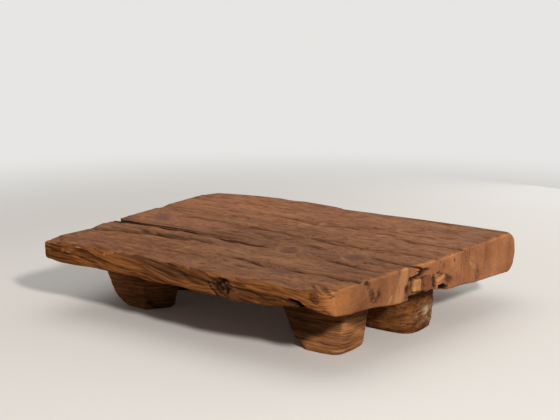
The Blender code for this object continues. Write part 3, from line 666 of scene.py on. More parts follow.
# long lines in the top, as x and y
topLines = {
    "rearLong": cut(0.0052, 0.0035, (-0.290, 0.027), (-0.170, 0.025), (-0.063, 0.017), (0.068, 0.004),
                    (0.193, -0.019), (0.291, -0.008), (0.450, -0.004), dark=0.78),
    "rearSecond": cut(0.0055, 0.0028, (-0.243, 0.146), (-0.133, 0.162), (-0.067, 0.156), (0.039, 0.131),
                      (0.117, 0.145), (0.233, 0.135), (0.321, 0.098), (0.381, 0.103), (0.455, 0.099),
                      dark=0.62),
    "rearThird": cut(0.0055, 0.0016, (-0.190, 0.093), (-0.110, 0.096), (-0.040, 0.090), dark=0.40),
    "rearFourth": cut(0.0060, 0.0014, (-0.300, 0.235), (-0.120, 0.250), (0.060, 0.262), dark=0.38),
    "rearDash": cut(0.0060, 0.0030, (0.147, -0.063), (0.172, -0.069), dark=0.85),
    "frontSplit": cut(0.0062, 0.0100, (0.240, -0.262), (0.264, -0.263), (0.298, -0.259), (0.346, -0.258),
                      (0.385, -0.264), (0.404, -0.269), (0.433, -0.280), dark=1.0),
    "frontShort": cut(0.0060, 0.0055, (0.262, -0.152), (0.311, -0.164), (0.346, -0.174), (0.378, -0.172),
                      dark=0.95),
    "rearShort": cut(0.0055, 0.0045, (0.315, -0.076), (0.329, -0.081), (0.364, -0.089), (0.393, -0.092),
                     dark=0.85),
    "rearEndShort": cut(0.0062, 0.0060, (0.390, -0.095), (0.422, -0.100), (0.445, -0.101), dark=1.0),
    "frontMiddle": cut(0.0066, 0.0050, (0.080, -0.248), (0.117, -0.255), (0.146, -0.265), dark=0.95),
    "frontMiddleLow": cut(0.0055, 0.0030, (0.125, -0.300), (0.151, -0.303), dark=0.80),
    "frontMiddleHigh": cut(0.0050, 0.0020, (0.163, -0.268), (0.192, -0.246), dark=0.55),
    "gouge": cut(0.0105, 0.0080, (-0.380, -0.209), (-0.341, -0.202), (-0.308, -0.185), (-0.272, -0.179),
                 (-0.238, -0.175), (-0.211, -0.169), (-0.166, -0.176), dark=1.0),
    "gougeEnd": cut(0.0062, 0.0040, (-0.147, -0.169), (-0.106, -0.161), (-0.068, -0.168), dark=0.85),
    "frontThin": cut(0.0050, 0.0018, (-0.234, -0.287), (-0.183, -0.269), (-0.169, -0.265), dark=0.45),
    "frontThinSecond": cut(0.0055, 0.0020, (-0.102, -0.277), (-0.042, -0.280), (0.011, -0.276), dark=0.55),
    "seamMiddle": cut(0.0062, 0.0055, (-0.065, -0.116), (-0.022, -0.123), (0.017, -0.132), (0.034, -0.132),
                      (0.058, -0.131), dark=1.0),
    "seamLeft": cut(0.0058, 0.0040, (-0.376, -0.118), (-0.328, -0.110), (-0.283, -0.107), (-0.197, -0.106),
                    (-0.153, -0.113), dark=0.85),
    "seamFaint": cut(0.0055, 0.0020, (-0.153, -0.113), (-0.103, -0.117), (-0.065, -0.117), dark=0.55),
}
# knots in the top: plum coloured, with a pale ring, a little sunk
topKnots = (
    spot(0.280, -0.095, 0.030, 0.018, -58.0, plum=0.95, ring=0.18, sunk=0.0010),
    spot(0.127, -0.125, 0.028, 0.018, -55.0, plum=0.65, ring=0.36, sunk=0.0008),
    spot(-0.334, -0.019, 0.050, 0.024, -48.0, plum=1.0, ring=0.0, sunk=0.0010),
    spot(0.226, -0.281, 0.038, 0.022, 10.0, plum=0.9, ring=0.0, sunk=0.0010),
)
topScuffs = (
    spot(0.000, 0.125, 0.020, 0.008, -33.0), spot(0.036, 0.143, 0.026, 0.008, 104.0),
    spot(0.228, 0.190, 0.010, 0.007, 70.0), spot(0.223, 0.120, 0.010, 0.007, 70.0),
    spot(-0.071, -0.230, 0.028, 0.005, 80.0),
)
topWear = {
    "hollow": 0.0007, "hollowRow": (0, 3.5, 8.0, 0.0), "ripple": 0.0003, "rippleRow": (7, 16.0, 60.0, 0.0),
    "furrow": 0.0006, "furrowRow": (3, 3.0, 42.0, 0.0), "furrowPatch": (4, 5.0, 12.0, 0.0, -0.4, 0.5),
    "wander": 0.0020, "wanderRow": (5, 22.0, 0.0, 0.0), "jitter": 0.0010, "jitterRow": (6, 75.0, 0.0, 0.0),
    "lineLeast": 0.6, "linePatch": (8, 26.0, 0.0, 0.0, -0.5, 0.3), "lineApart": 3.7,
    "checks": {"along": (-0.43, 0.40), "long": (0.030, 0.15), "half": (0.0020, 0.0036), "slope": 0.03},
    "knotWobble": 0.10, "knotRow": (9, 30.0, 30.0, 0.0), "knotCore": 0.95, "ringAt": 1.45, "ringHalf": 0.30,
    "bend": 0.016, "bendReach": 2.2, "bendTurn": 0.012, "scuff": 0.55,
    "seamKeep": (0.0015, 0.012), "seamKeepFrom": 0.45,  # no wear at the closed seam
}
# torn wood beside the gouge at the left
tornGouge = {
    "at": (-0.225, -0.168), "half": (0.070, 0.014), "deep": 0.0030, "ragged": 0.0030,
    "raggedRow": (12, 22.0, 150.0, 0.0), "stain": 0.85, "stainPatch": (13, 34.0, 190.0, 0.0, -0.25, 0.3),
    "crack": 0.85, "crackPatch": (14, 45.0, 170.0, 0.0, -0.05, 0.35),
    "rim": {"at": (-0.225, -0.190), "half": (0.080, 0.006)}, "rimWorn": 0.5,
}


# hollows, shallow furrows, cracks, checks, knots and scuffs
def wearTop(skin):
    wear, x, y, up = topWear, skin.x, skin.y, skin.up
    skin.raised += up * wear["hollow"] * ripple(skin, wear["hollowRow"], roughness)
    furrows = ripple(skin, wear["furrowRow"], ridges) * patches(skin, wear["furrowPatch"])
    skin.raised += up * wear["furrow"] * furrows
    skin.raised += up * wear["ripple"] * ripple(skin, wear["rippleRow"], roughness)
    wander = wear["wander"] * ripple(skin, wear["wanderRow"])
    wander = wander + wear["jitter"] * ripple(skin, wear["jitterRow"])
    checks = scatterChecks(skin.draw, wear["checks"], skin.fine["topChecks"], skin.yRange)
    for index, line in enumerate(list(topLines.values()) + checks):
        share = lineShare(x, y + wander, line["run"], line["half"]) * up
        if index < len(topLines):  # the long lines come and go
            bold = patches(skin, wear["linePatch"], shift=(0.0, index * wear["lineApart"], 0.0))
            share = share * (wear["lineLeast"] + (1.0 - wear["lineLeast"]) * bold)
        skin.raised -= line["deep"] * share
        mark(skin, "crack", line["dark"] * share)
    for index, knot in enumerate(topKnots):
        wobble = ripple(skin, wear["knotRow"], shift=(0.0, 0.0, index))
        r = ovalShare(x, y, knot) * (1.0 + wear["knotWobble"] * wobble)
        core = np.exp(-(r / wear["knotCore"]) ** 4) * up
        mark(skin, "plum", knot["plum"] * core)
        mark(skin, "pale", np.exp(-((r - wear["ringAt"]) / wear["ringHalf"]) ** 2) * knot["ring"] * up)
        skin.raised -= knot["sunk"] * core
        bend = wear["bend"] * np.exp(-(r / wear["bendReach"]) ** 2)
        skin.paint["flow"] += bend * np.tanh((y - knot["at"][1]) / wear["bendTurn"])
    for scuff in topScuffs:
        mark(skin, "pale", wear["scuff"] * np.exp(-ovalShare(x, y, scuff) ** 2) * up)
    if skin.isFront:
        gouge = tornGouge
        torn = boxShare(x, y, gouge) * up
        skin.raised -= torn * (gouge["deep"] + gouge["ragged"] * ripple(skin, gouge["raggedRow"], ridges))
        mark(skin, "stain", gouge["stain"] * torn * patches(skin, gouge["stainPatch"]))
        mark(skin, "crack", gouge["crack"] * torn * patches(skin, gouge["crackPatch"]))
        mark(skin, "worn", gouge["rimWorn"] * boxShare(x, y, gouge["rim"], (4, 2)) * up)
    closed = (up > 0.0) & (skin.u > wear["seamKeepFrom"])
    skin.raised *= np.where(closed, smoothStep(skin.fromSeam, *wear["seamKeep"]), 1.0)


# lipReach and lipDeep are for the front and the rear plank; Until is shares of the length
seamWear = {
    "lipReach": (0.016, 0.006), "lipDeep": (0.0045, 0.0012), "lipEdge": 0.002, "lipUntil": (0.24, 0.36),
    "lipLeast": 0.7, "lipMore": 0.4, "lipRow": (65, 30.0, 0.0, 0.0),
    # the dark entries are painted shade along the open gap
    "dark": 0.95, "darkReach": (0.0050, 0.0085), "darkUntil": (0.26, 0.40),
    "darkPatch": (66, 40.0, 0.0, 0.0, -0.9, -0.2), "worn": 0.45,
    "wornPatch": (67, 30.0, 120.0, 0.0, -0.2, 0.4), "corner": 0.013, "cornerReach": 0.020,
}


# the open stretch of the seam: worn lips and painted shade in a dark line between them
def openSeam(skin):
    wear, which = seamWear, 0 if skin.isFront else 1
    upper = skin.up > 0.0
    lip = near(skin.fromSeam, wear["lipEdge"], wear["lipReach"][which]) * upper
    lip = lip * fadeOut(skin.u, *wear["lipUntil"])
    uneven = wear["lipLeast"] + wear["lipMore"] * ripple(skin, wear["lipRow"])
    skin.raised -= wear["lipDeep"][which] * lip * uneven
    # painted shade: a dark line along the open gap
    line = near(skin.fromSeam, *wear["darkReach"]) * fadeOut(skin.u, *wear["darkUntil"]) * upper
    mark(skin, "crack", wear["dark"] * line * patches(skin, wear["darkPatch"]))
    mark(skin, "worn", wear["worn"] * lip * patches(skin, wear["wornPatch"]))
    if not skin.isFront:
        fromCorner = np.hypot(skin.x - skin.leftEnd, skin.fromSeam)
        skin.raised -= wear["corner"] * np.exp(-(fromCorner / wear["cornerReach"]) ** 2) * skin.up


# the knot hole in the front edge, as x and z
edgeKnot = {
    "oval": spot(0.137, 0.156, 0.026, 0.020), "bend": 0.014, "bendReach": 2.4,
    "bendLevel": 0.157, "bendTurn": 0.008,
    "fray": 0.0016, "frayRow": (42, 160.0, 0.0, 160.0), "slitFray": 0.6, "steep": 5,
    "wobble": 0.2, "wobbleRow": (39, 60.0, 0.0, 60.0), "noiseShift": (0.0, 1.0, 0.0),
    "curls": 15.0, "curlTwist": 2.0, "curlRow": (48, 45.0, 0.0, 45.0), "curlFrom": (-0.1, 0.8),
    "lumpPatch": (43, 170.0, 0.0, 170.0, -0.05, 0.40), "lumpFrom": (0.116, 0.130),
    "sunk": 0.0010, "curlDeep": 0.0016, "lumpDeep": 0.0036, "curlDark": 0.40, "lumpDark": 0.90,
    "stain": 0.72, "rimHalf": 0.0019,
}
edgeWear = {
    "roll": 0.0035, "rollReach": (0.004, 0.030), "rollPatch": (15, 13.0, 0.0, 0.0, -0.3, 0.6),
    "rollRough": 0.0012, "rollRow": (16, 50.0, 50.0, 0.0),
    "spill": 0.010, "spillRow": (17, 26.0, 20.0, 0.0), "spillReach": (0.003, 0.013),
    "spillFine": 0.006, "spillFineRow": (18, 80.0, 60.0, 0.0),
    "drift": 0.004, "driftRow": (19, 15.0, 0.0, 20.0),
    "sway": 0.0045, "swayRow": (37, 14.0, 0.0, 20.0), "swayShift": (0.0, 2.0, 0.0),
    "swayFine": 0.0016, "swayFineRow": (38, 42.0, 0.0, 50.0),
    "adze": 0.0024, "adzeRow": (20, 12.0, 10.0, 24.0),
    "fibre": 0.0008, "fibreRow": (23, 12.0, 8.0, 210.0), "hair": 0.0005, "hairRow": (26, 36.0, 20.0, 420.0),
    "chip": 0.0026, "chipPatch": (28, 34.0, 34.0, 34.0, 0.15, 0.75), "arrisFrom": (0.02, 0.4),
    "arrisUntil": (0.85, 1.0), "checkAcross": (0.06, 0.24),
    "checks": {"along": (-0.43, 0.40), "long": (0.02, 0.10), "half": (0.0009, 0.0019), "slope": 0.05},
    "dull": 0.72, "dullPatch": (40, 5.0, 0.0, 60.0, 0.10, 0.65),
    "golden": 0.52, "goldenPatch": (41, 6.0, 0.0, 55.0, -0.05, 0.55), "goldenShift": (0.0, 3.0, 0.0),
}


# hewn edge: it rolls over unevenly, with adze facets and fibres that fall to the right
def hewEdge(skin):
    wear, x, z, up = edgeWear, skin.x, skin.z, skin.up
    roll = near(skin.fromEdge, *wear["rollReach"]) * up * (skin.labels != faceMarks["right"])
    rolled = wear["roll"] * patches(skin, wear["rollPatch"])
    skin.raised -= roll * (rolled + wear["rollRough"] * ripple(skin, wear["rollRow"], roughness))
    spill = wear["spill"] * ripple(skin, wear["spillRow"])
    spill = spill + wear["spillFine"] * ripple(skin, wear["spillFineRow"])
    spilt = near(skin.fromEdge + spill, *wear["spillReach"]) * (up > 0.0)
    side = np.where(skin.hewnSide, 1.0, spilt) * skin.notEnd
    wall = np.where(skin.hewnSide, 1.0 - up, 0.0) * skin.notEnd
    slant = z + plankLook["fall"] * x + wear["drift"] * ripple(skin, wear["driftRow"])
    sway = wear["sway"] * ripple(skin, wear["swayRow"], shift=wear["swayShift"])
    sway = sway + wear["swayFine"] * ripple(skin, wear["swayFineRow"], shift=wear["swayShift"])
    slant = slant + sway
    skin.paint["flow"] += sway * side
    if skin.isFront:
        knot = edgeKnot
        bend = knot["bend"] * np.exp(-(ovalShare(x, z, knot["oval"]) / knot["bendReach"]) ** 2)
        bend = bend * np.tanh((z - knot["bendLevel"]) / knot["bendTurn"]) * side
        slant = slant + bend
        skin.paint["flow"] += bend
    skin.raised += wall * wear["adze"] * ripple(skin, wear["adzeRow"], roughness, slant)
    skin.raised += wall * wear["fibre"] * ripple(skin, wear["fibreRow"], ridges, slant)
    skin.raised += wall * wear["hair"] * ripple(skin, wear["hairRow"], noise, slant)
    turned = smoothStep(up, *wear["arrisFrom"]) * fadeOut(up, *wear["arrisUntil"])
    skin.raised -= wear["chip"] * patches(skin, wear["chipPatch"]) * np.where(skin.hewnSide, turned, 0.0)
    for line in scatterChecks(skin.draw, wear["checks"], skin.fine["edgeChecks"], wear["checkAcross"]):
        share = lineShare(x, slant, line["run"], line["half"]) * wall
        skin.raised -= line["deep"] * share
        mark(skin, "crack", line["dark"] * share)
    mark(skin, "stain", wear["dull"] * patches(skin, wear["dullPatch"], slant) * side)
    mark(skin, "worn", wear["golden"] * patches(skin, wear["goldenPatch"], slant, wear["goldenShift"]) * side)
    skin.paint["side"], skin.slant = side, slant


faceWear = {
    "seam": 0.0008, "seamRow": (30, 30.0, 30.0, 60.0), "seamUntil": 0.4,
    "seamGapShade": 0.92, "darkFrom": (0.004, 0.014), "darkUntil": (0.08, 0.26),
    "under": 0.0022, "underRow": (33, 9.0, 13.0, 0.0), "left": 0.0010, "leftRow": (36, 40.0, 42.0, 42.0),
}


def roughFaces(skin):
    wear = faceWear
    isOpen = skin.u < wear["seamUntil"]
    skin.raised += skin.seamSide * wear["seam"] * isOpen * ripple(skin, wear["seamRow"], roughness)
    # painted shade on the sides facing into the open gap
    gap = fadeOut(skin.u, *wear["darkUntil"]) * smoothStep(skin.u, *wear["darkFrom"])
    mark(skin, "crack", wear["seamGapShade"] * skin.seamSide * gap)
    skin.raised += skin.down * wear["under"] * ripple(skin, wear["underRow"], roughness)
    skin.raised += skin.leftFace * wear["left"] * ripple(skin, wear["leftRow"], roughness)


# hollows in the front edge, as x and z
edgeHollows = (
    spot(0.1425, 0.1672, 0.0062, 0.0042, -25.0, deep=0.009),
    spot(0.1540, 0.1470, 0.0036, 0.0085, 8.0, deep=0.009),
    spot(0.1300, 0.1600, 0.0038, 0.0055, 20.0, deep=0.007),
    spot(0.1400, 0.1520, 0.0060, 0.0030, -35.0, deep=0.006),
)
# slits round the knot hole: they run down to the right
edgeSlits = (
    cut(0.0021, 0.009, (0.1065, 0.1570), (0.1110, 0.1488), (0.1187, 0.1415), (0.1301, 0.1339)),
    cut(0.0014, 0.006, (0.1270, 0.1480), (0.1340, 0.1435), (0.1432, 0.1395), (0.1560, 0.1360)),
    cut(0.0012, 0.005, (0.1150, 0.1690), (0.1190, 0.1590), (0.1240, 0.1510), (0.1310, 0.1450)),
)
# golden rims beside the slits
edgeRims = (
    ((0.1010, 0.1540), (0.1058, 0.1469), (0.1134, 0.1396), (0.1238, 0.1325)),
    ((0.1120, 0.1570), (0.1160, 0.1490), (0.1240, 0.1420), (0.1350, 0.1355)),
    ((0.1290, 0.1510), (0.1360, 0.1465), (0.1460, 0.1420), (0.1570, 0.1390)),
    ((0.1640, 0.1720), (0.1700, 0.1690), (0.1760, 0.1610), (0.1800, 0.1520)),
    ((0.2935, 0.1500), (0.3000, 0.1475), (0.3090, 0.1445), (0.3220, 0.1405)),
)
# dark lens shapes in the front edge
edgeLenses = (
    spot(0.010, 0.170, 0.046, 0.0050, -9.0, dark=0.95),
    spot(0.055, 0.160, 0.032, 0.0040, -13.0, dark=0.90),
    spot(-0.020, 0.160, 0.040, 0.0030, -8.0, dark=0.60),
    spot(0.190, 0.163, 0.030, 0.0040, -12.0, dark=0.75),
    spot(0.235, 0.152, 0.034, 0.0035, -10.0, dark=0.70),
    spot(-0.150, 0.166, 0.050, 0.0030, -8.0, dark=0.55),
    spot(-0.275, 0.165, 0.034, 0.0045, -13.0, dark=0.90),
    spot(-0.245, 0.157, 0.040, 0.0035, -12.0, dark=0.80),
    spot(-0.318, 0.158, 0.022, 0.0040, -14.0, dark=0.75),
    spot(-0.110, 0.158, 0.045, 0.0030, -8.0, dark=0.65),
    spot(0.262, 0.166, 0.036, 0.0045, -8.0, dark=0.60),
)
lensLook = {"wave": 0.003, "waveRow": (44, 40.0, 0.0, 0.0), "fibrePatch": (45, 16.0, 0.0, 300.0, -0.5, 0.3),
            "least": 0.45, "dark": 0.85, "deep": 0.0022}
# pale chips knocked out of the front arris
edgeChips = (
    spot(-0.3306, 0.1630, 0.0060, 0.0040), spot(-0.3130, 0.1610, 0.0080, 0.0030),
    spot(-0.2873, 0.1745, 0.0090, 0.0025), spot(-0.2075, 0.1700, 0.0038, 0.0036),
)
chipPale = 0.9
# the slot torn out under the front right corner: where its middle runs, and half its height
tornSlot = {
    "x": (0.299, 0.304, 0.3165, 0.3252, 0.333, 0.340, 0.346),
    "middle": (0.1563, 0.1548, 0.1517, 0.1478, 0.1425, 0.1355, 0.1300),
    "half": (0.0004, 0.0018, 0.0046, 0.0072, 0.0070, 0.0058, 0.0044),
    "start": (0.299, 0.304), "stop": (0.339, 0.347), "deep": 0.024, "steep": 6,
}
cutEdge = {"reach": 0.030, "below": 0.176, "dark": (0.0012, 0.0060), "stands": 0.003}


# knot hole with curved slits, dark lenses, pale chips and the torn slot
def cutFrontEdge(skin):
    knot, x, z, side = edgeKnot, skin.x, skin.z, skin.paint["side"]
    apart = knot["noiseShift"]
    fray = knot["fray"] * ripple(skin, knot["frayRow"])
    cutIn = np.zeros(len(x))
    for hollow in edgeHollows:
        share = np.exp(-ovalShare(x + fray, z - fray, hollow) ** knot["steep"])
        cutIn = np.maximum(cutIn, hollow["deep"] * share)
    frayed = z + knot["slitFray"] * fray
    for line in edgeSlits:
        cutIn = np.maximum(cutIn, line["deep"] * lineShare(x, frayed, line["run"], line["half"]))
    r = ovalShare(x, z, knot["oval"])
    wobble = 1.0 + knot["wobble"] * ripple(skin, knot["wobbleRow"], shift=apart)
    knotted = np.exp(-(r * wobble) ** 6) * side
    twist = knot["curlTwist"] * ripple(skin, knot["curlRow"], shift=apart)
    curls = smoothStep(np.cos(r * knot["curls"] + twist), *knot["curlFrom"])
    lumps = patches(skin, knot["lumpPatch"]) * smoothStep(x, *knot["lumpFrom"])
    skin.raised -= knotted * (knot["sunk"] + knot["curlDeep"] * curls + knot["lumpDeep"] * lumps)
    mark(skin, "crack", knotted * np.maximum(knot["lumpDark"] * lumps, knot["curlDark"] * curls))
    mark(skin, "stain", knotted * knot["stain"])
    for run in edgeRims:
        mark(skin, "worn", lineShare(x, frayed, run, knot["rimHalf"]) * side)
    look = lensLook
    wavy = z + look["wave"] * ripple(skin, look["waveRow"])
    fibres = look["least"] + (1.0 - look["least"]) * patches(skin, look["fibrePatch"], skin.slant)
    for lens in edgeLenses:
        share = np.exp(-ovalShare(x, wavy, lens) ** 3) * lens["dark"] * fibres * side
        mark(skin, "crack", look["dark"] * share)
        skin.raised -= look["deep"] * share
    for chip in edgeChips:
        mark(skin, "pale", chipPale * np.exp(-ovalShare(x, z, chip) ** 4) * side)
    slot = tornSlot
    away = (z - np.interp(x, slot["x"], slot["middle"])) / np.interp(x, slot["x"], slot["half"])
    share = np.exp(-away ** slot["steep"]) * smoothStep(x, *slot["start"]) * near(x, *slot["stop"])
    cutIn = np.maximum(cutIn, slot["deep"] * share)
    cutIn *= (skin.y < skin.outerEdge + cutEdge["reach"]) & (z < cutEdge["below"])
    mark(skin, "crack", smoothStep(cutIn, *cutEdge["dark"]) * (skin.labels != faceMarks["top"]))
    skin.cutIn = cutIn


# cracks that run down over the front right corner; around is measured along the turn of the edge
cornerCracks = (
    cut(0.0019, 0.0030, (0.3900, 0.1820), (0.3950, 0.1790), (0.4020, 0.1745), (0.4080, 0.1690), dark=0.90),
    cut(0.0017, 0.0030, (0.3820, 0.1820), (0.3880, 0.1775), (0.3960, 0.1725), (0.4020, 0.1670), dark=0.75),
    cut(0.0018, 0.0030, (0.3850, 0.1400), (0.3920, 0.1355), (0.3990, 0.1310), dark=0.80),
    cut(0.0016, 0.0030, (0.3660, 0.1810), (0.3710, 0.1770), (0.3770, 0.1735), dark=0.70),
)
frontCorner = {
    "fromX": (0.315, 0.372), "fromY": (0.270, 0.335), "worn": 0.85, "topLess": 0.45,
    "whorl": spot(0.3586, 0.1650, 0.0125, 0.0165), "whorlWobble": 0.22, "whorlRow": (46, 90.0, 0.0, 90.0),
    "rings": 9.0, "ringTwist": 1.5, "ringRow": (47, 130.0, 0.0, 130.0), "ringShift": (0.0, 2.0, 0.0),
    "ringFrom": (0.1, 0.8), "ringReach": 1.2, "ringDeep": 0.0014, "ringStain": 0.95,
    "ringPatch": (49, 60.0, 0.0, 110.0, -0.7, 0.1), "patchShift": (0.0, 1.0, 0.0),
    "coreStain": 0.50, "coreReach": 0.85, "coreLess": 0.6, "lessReach": 0.95,
    "arrisFrom": (0.25, 0.55), "arrisUntil": (0.75, 0.96), "arrisY": (0.300, 0.330), "arrisWorn": 0.9,
    "arrisPatch": (53, 60.0, 60.0, 90.0, -0.6, 0.2), "aroundStart": 0.370, "aroundY": (0.318, 0.332),
    "ridge": ((-0.1760, 0.4060), (-0.1713, 0.4071), (-0.1488, 0.4134), (-0.1303, 0.4168)),
    "ridgeHalf": 0.0026, "ridgeWave": 0.001, "ridgeRow": (54, 0.0, 0.0, 200.0),
    "ridgePale": 0.60, "ridgeUp": 0.0012,
    "crackWave": 0.0008, "crackRow": (51, 200.0, 0.0, 90.0),
}


# the orange front right corner with its whorl, its bright arris and its cracks
def wearCorner(skin):
    wear, x, y, z, side = frontCorner, skin.x, skin.y, skin.z, skin.paint["side"]
    above = 1.0 - skin.down
    skin.corner = smoothStep(x, *wear["fromX"]) * smoothStep(-y, *wear["fromY"]) * above
    mark(skin, "worn", wear["worn"] * skin.corner * (1.0 - wear["topLess"] * skin.up))
    whorl = ovalShare(x, z, wear["whorl"]) * (1.0 + wear["whorlWobble"] * ripple(skin, wear["whorlRow"]))
    twist = wear["ringTwist"] * ripple(skin, wear["ringRow"], shift=wear["ringShift"])
    rings = smoothStep(np.cos(whorl * wear["rings"] + twist), *wear["ringFrom"])
    rings *= np.exp(-(whorl / wear["ringReach"]) ** 4) * side
    rings *= patches(skin, wear["ringPatch"], shift=wear["patchShift"])
    skin.raised -= wear["ringDeep"] * rings
    core = wear["coreStain"] * np.exp(-(whorl / wear["coreReach"]) ** 4) * side
    mark(skin, "stain", np.maximum(wear["ringStain"] * rings, core))
    skin.paint["worn"] *= 1.0 - wear["coreLess"] * np.exp(-(whorl / wear["lessReach"]) ** 4) * side
    facing = skin.normals[:, 0]
    turned = smoothStep(facing, *wear["arrisFrom"]) * fadeOut(facing, *wear["arrisUntil"])
    arris = turned * smoothStep(-y, *wear["arrisY"]) * above
    mark(skin, "worn", wear["arrisWorn"] * arris * patches(skin, wear["arrisPatch"]))
    around, atCorner = x + y + wear["aroundStart"], smoothStep(-y, *wear["aroundY"])
    wavy = around + wear["ridgeWave"] * ripple(skin, wear["ridgeRow"])
    ridge = lineShare(-z, wavy, wear["ridge"], wear["ridgeHalf"]) * atCorner
    mark(skin, "pale", wear["ridgePale"] * ridge * above)
    skin.raised += wear["ridgeUp"] * ridge
    wavy = z + wear["crackWave"] * ripple(skin, wear["crackRow"])
    for line in cornerCracks:
        share = lineShare(around, wavy, line["run"], line["half"]) * atCorner * above
        skin.raised -= line["deep"] * share
        mark(skin, "crack", line["dark"] * share)


# corners that sit a little higher or lower than the solids
cornerShifts = {
    "right": {"at": (0.398, -0.374), "reach": 0.030, "lift": 0.0030, "below": (0.130, 0.150)},
    "left": {"at": (-0.396, -0.376), "reach": 0.034, "lift": 0.0045, "below": (0.134, 0.150),
             "drop": 0.0032, "above": (0.154, 0.178)},
    "rear": {"drop": 0.0068, "fromX": (0.34, 0.42), "fromY": (0.07, 0.17), "below": (0.105, 0.140)},
}


def shiftCorners(skin):
    x, y, z = skin.x, skin.y, skin.z
    if not skin.isFront:
        rear = cornerShifts["rear"]
        place = smoothStep(x, *rear["fromX"]) * smoothStep(y, *rear["fromY"])
        return -rear["drop"] * place * near(z, *rear["below"])
    total = np.zeros(len(x))
    for corner in (cornerShifts["right"], cornerShifts["left"]):
        away = np.hypot(x - corner["at"][0], y - corner["at"][1])
        shift = corner["lift"] * near(z, *corner["below"])
        if "drop" in corner:
            shift = shift - corner["drop"] * smoothStep(z, *corner["above"])
        total += np.exp(-(away / corner["reach"]) ** 2) * shift
    return total


# hollows in the right end, as y and z
endHollows = (
    spot(-0.072, 0.1590, 0.030, 0.0060, 13.0, deep=0.018),
    spot(-0.0595, 0.1370, 0.0045, 0.0145, -4.0, deep=0.018),
    spot(-0.058, 0.1340, 0.046, 0.0195, -3.0, deep=0.006),
    spot(-0.0170, 0.1310, 0.0048, 0.0185, 12.0, deep=0.020),
    spot(0.0180, 0.1120, 0.021, 0.0075, -20.0, deep=0.026),
    spot(0.0350, 0.1280, 0.014, 0.0065, -20.0, deep=0.006),
    spot(0.0080, 0.1425, 0.018, 0.0026, 8.0, deep=0.005),
    spot(0.0603, 0.1640, 0.0044, 0.0040, deep=0.012),
    spot(-0.250, 0.1755, 0.0075, 0.0060, 20.0, deep=0.009),
    spot(0.1684, 0.1153, 0.0035, 0.0035, deep=0.005),
)
# pitted, grey patches in the right end
endPits = (
    spot(-0.233, 0.148, 0.009, 0.017, 8.0, dark=0.90), spot(-0.207, 0.143, 0.007, 0.012, dark=0.85),
    spot(-0.218, 0.133, 0.012, 0.007, dark=0.70), spot(-0.109, 0.130, 0.0075, 0.013, dark=0.80),
    spot(-0.102, 0.116, 0.010, 0.005, dark=0.85), spot(0.034, 0.128, 0.016, 0.010, -20.0, dark=0.95),
    spot(-0.245, 0.169, 0.007, 0.010, 20.0, dark=0.60), spot(-0.0010, 0.149, 0.010, 0.004, dark=0.80),
)
# cracks that run down the right end, and one that runs across it
endCracks = (
    cut(0.0015, 0.005, (0.002, 0.182), (0.0036, 0.169), (0.005, 0.140)),
    cut(0.0015, 0.005, (0.104, 0.182), (0.1094, 0.1667), (0.1222, 0.1504), (0.1577, 0.1269)),
    cut(0.0015, 0.003, (-0.160, 0.131), (-0.165, 0.122), (-0.171, 0.113)),
    cut(0.0026, 0.010, (-0.108, 0.184), (-0.086, 0.1765), (-0.060, 0.1675), (-0.046, 0.1640), flat=True),
)
endWear = {
    "wave": 0.0030, "waveRow": (50, 0.0, 16.0, 5.0), "waveReach": (0.004, 0.040),
    "rough": 0.0010, "roughRow": (52, 0.0, 60.0, 60.0), "saw": 0.0003, "sawRow": (55, 0.0, 330.0, 22.0),
    "fray": 0.0026, "frayRowY": (57, 0.0, 140.0, 140.0), "frayRowZ": (58, 0.0, 140.0, 140.0),
    "frayShift": (4.0, 0.0, 0.0), "steep": 7,
    "sunkLeast": 0.75, "sunkMore": 0.35, "sunkRow": (59, 0.0, 90.0, 90.0), "sunkShift": (2.0, 0.0, 0.0),
    "sunkDark": (0.0030, 0.0120), "sunkGrey": (0.0006, 0.004), "sunkStain": 0.8,
    "splinter": cut(0.0022, 0.8, (-0.091, 0.1575), (-0.073, 0.1625)),  # its depth is a share of the hollow's
    "speckPatch": (68, 0.0, 210.0, 210.0, -0.10, 0.35), "pitDeep": 0.0024, "pitStain": 0.85, "pitDark": 0.75,
    "checks": {"along": (-0.17, -0.10), "long": (0.004, 0.022), "half": (0.0007, 0.0014), "slope": 0.25},
    "checkCount": 12, "checkDeep": 0.5,
    "leftChecks": {"along": (-0.18, -0.10), "long": (0.010, 0.045), "half": (0.0010, 0.0022), "slope": 0.45},
    "leftCount": 34, "leftSeed": 80, "leftDark": 1.15,
    "lip": 0.65, "lipFrom": (0.1720, 0.1785), "lipReach": (0.003, 0.008),
    "lipPatch": (60, 0.0, 45.0, 0.0, -0.7, 0.2), "reach": 0.030, "stands": 0.002,
}


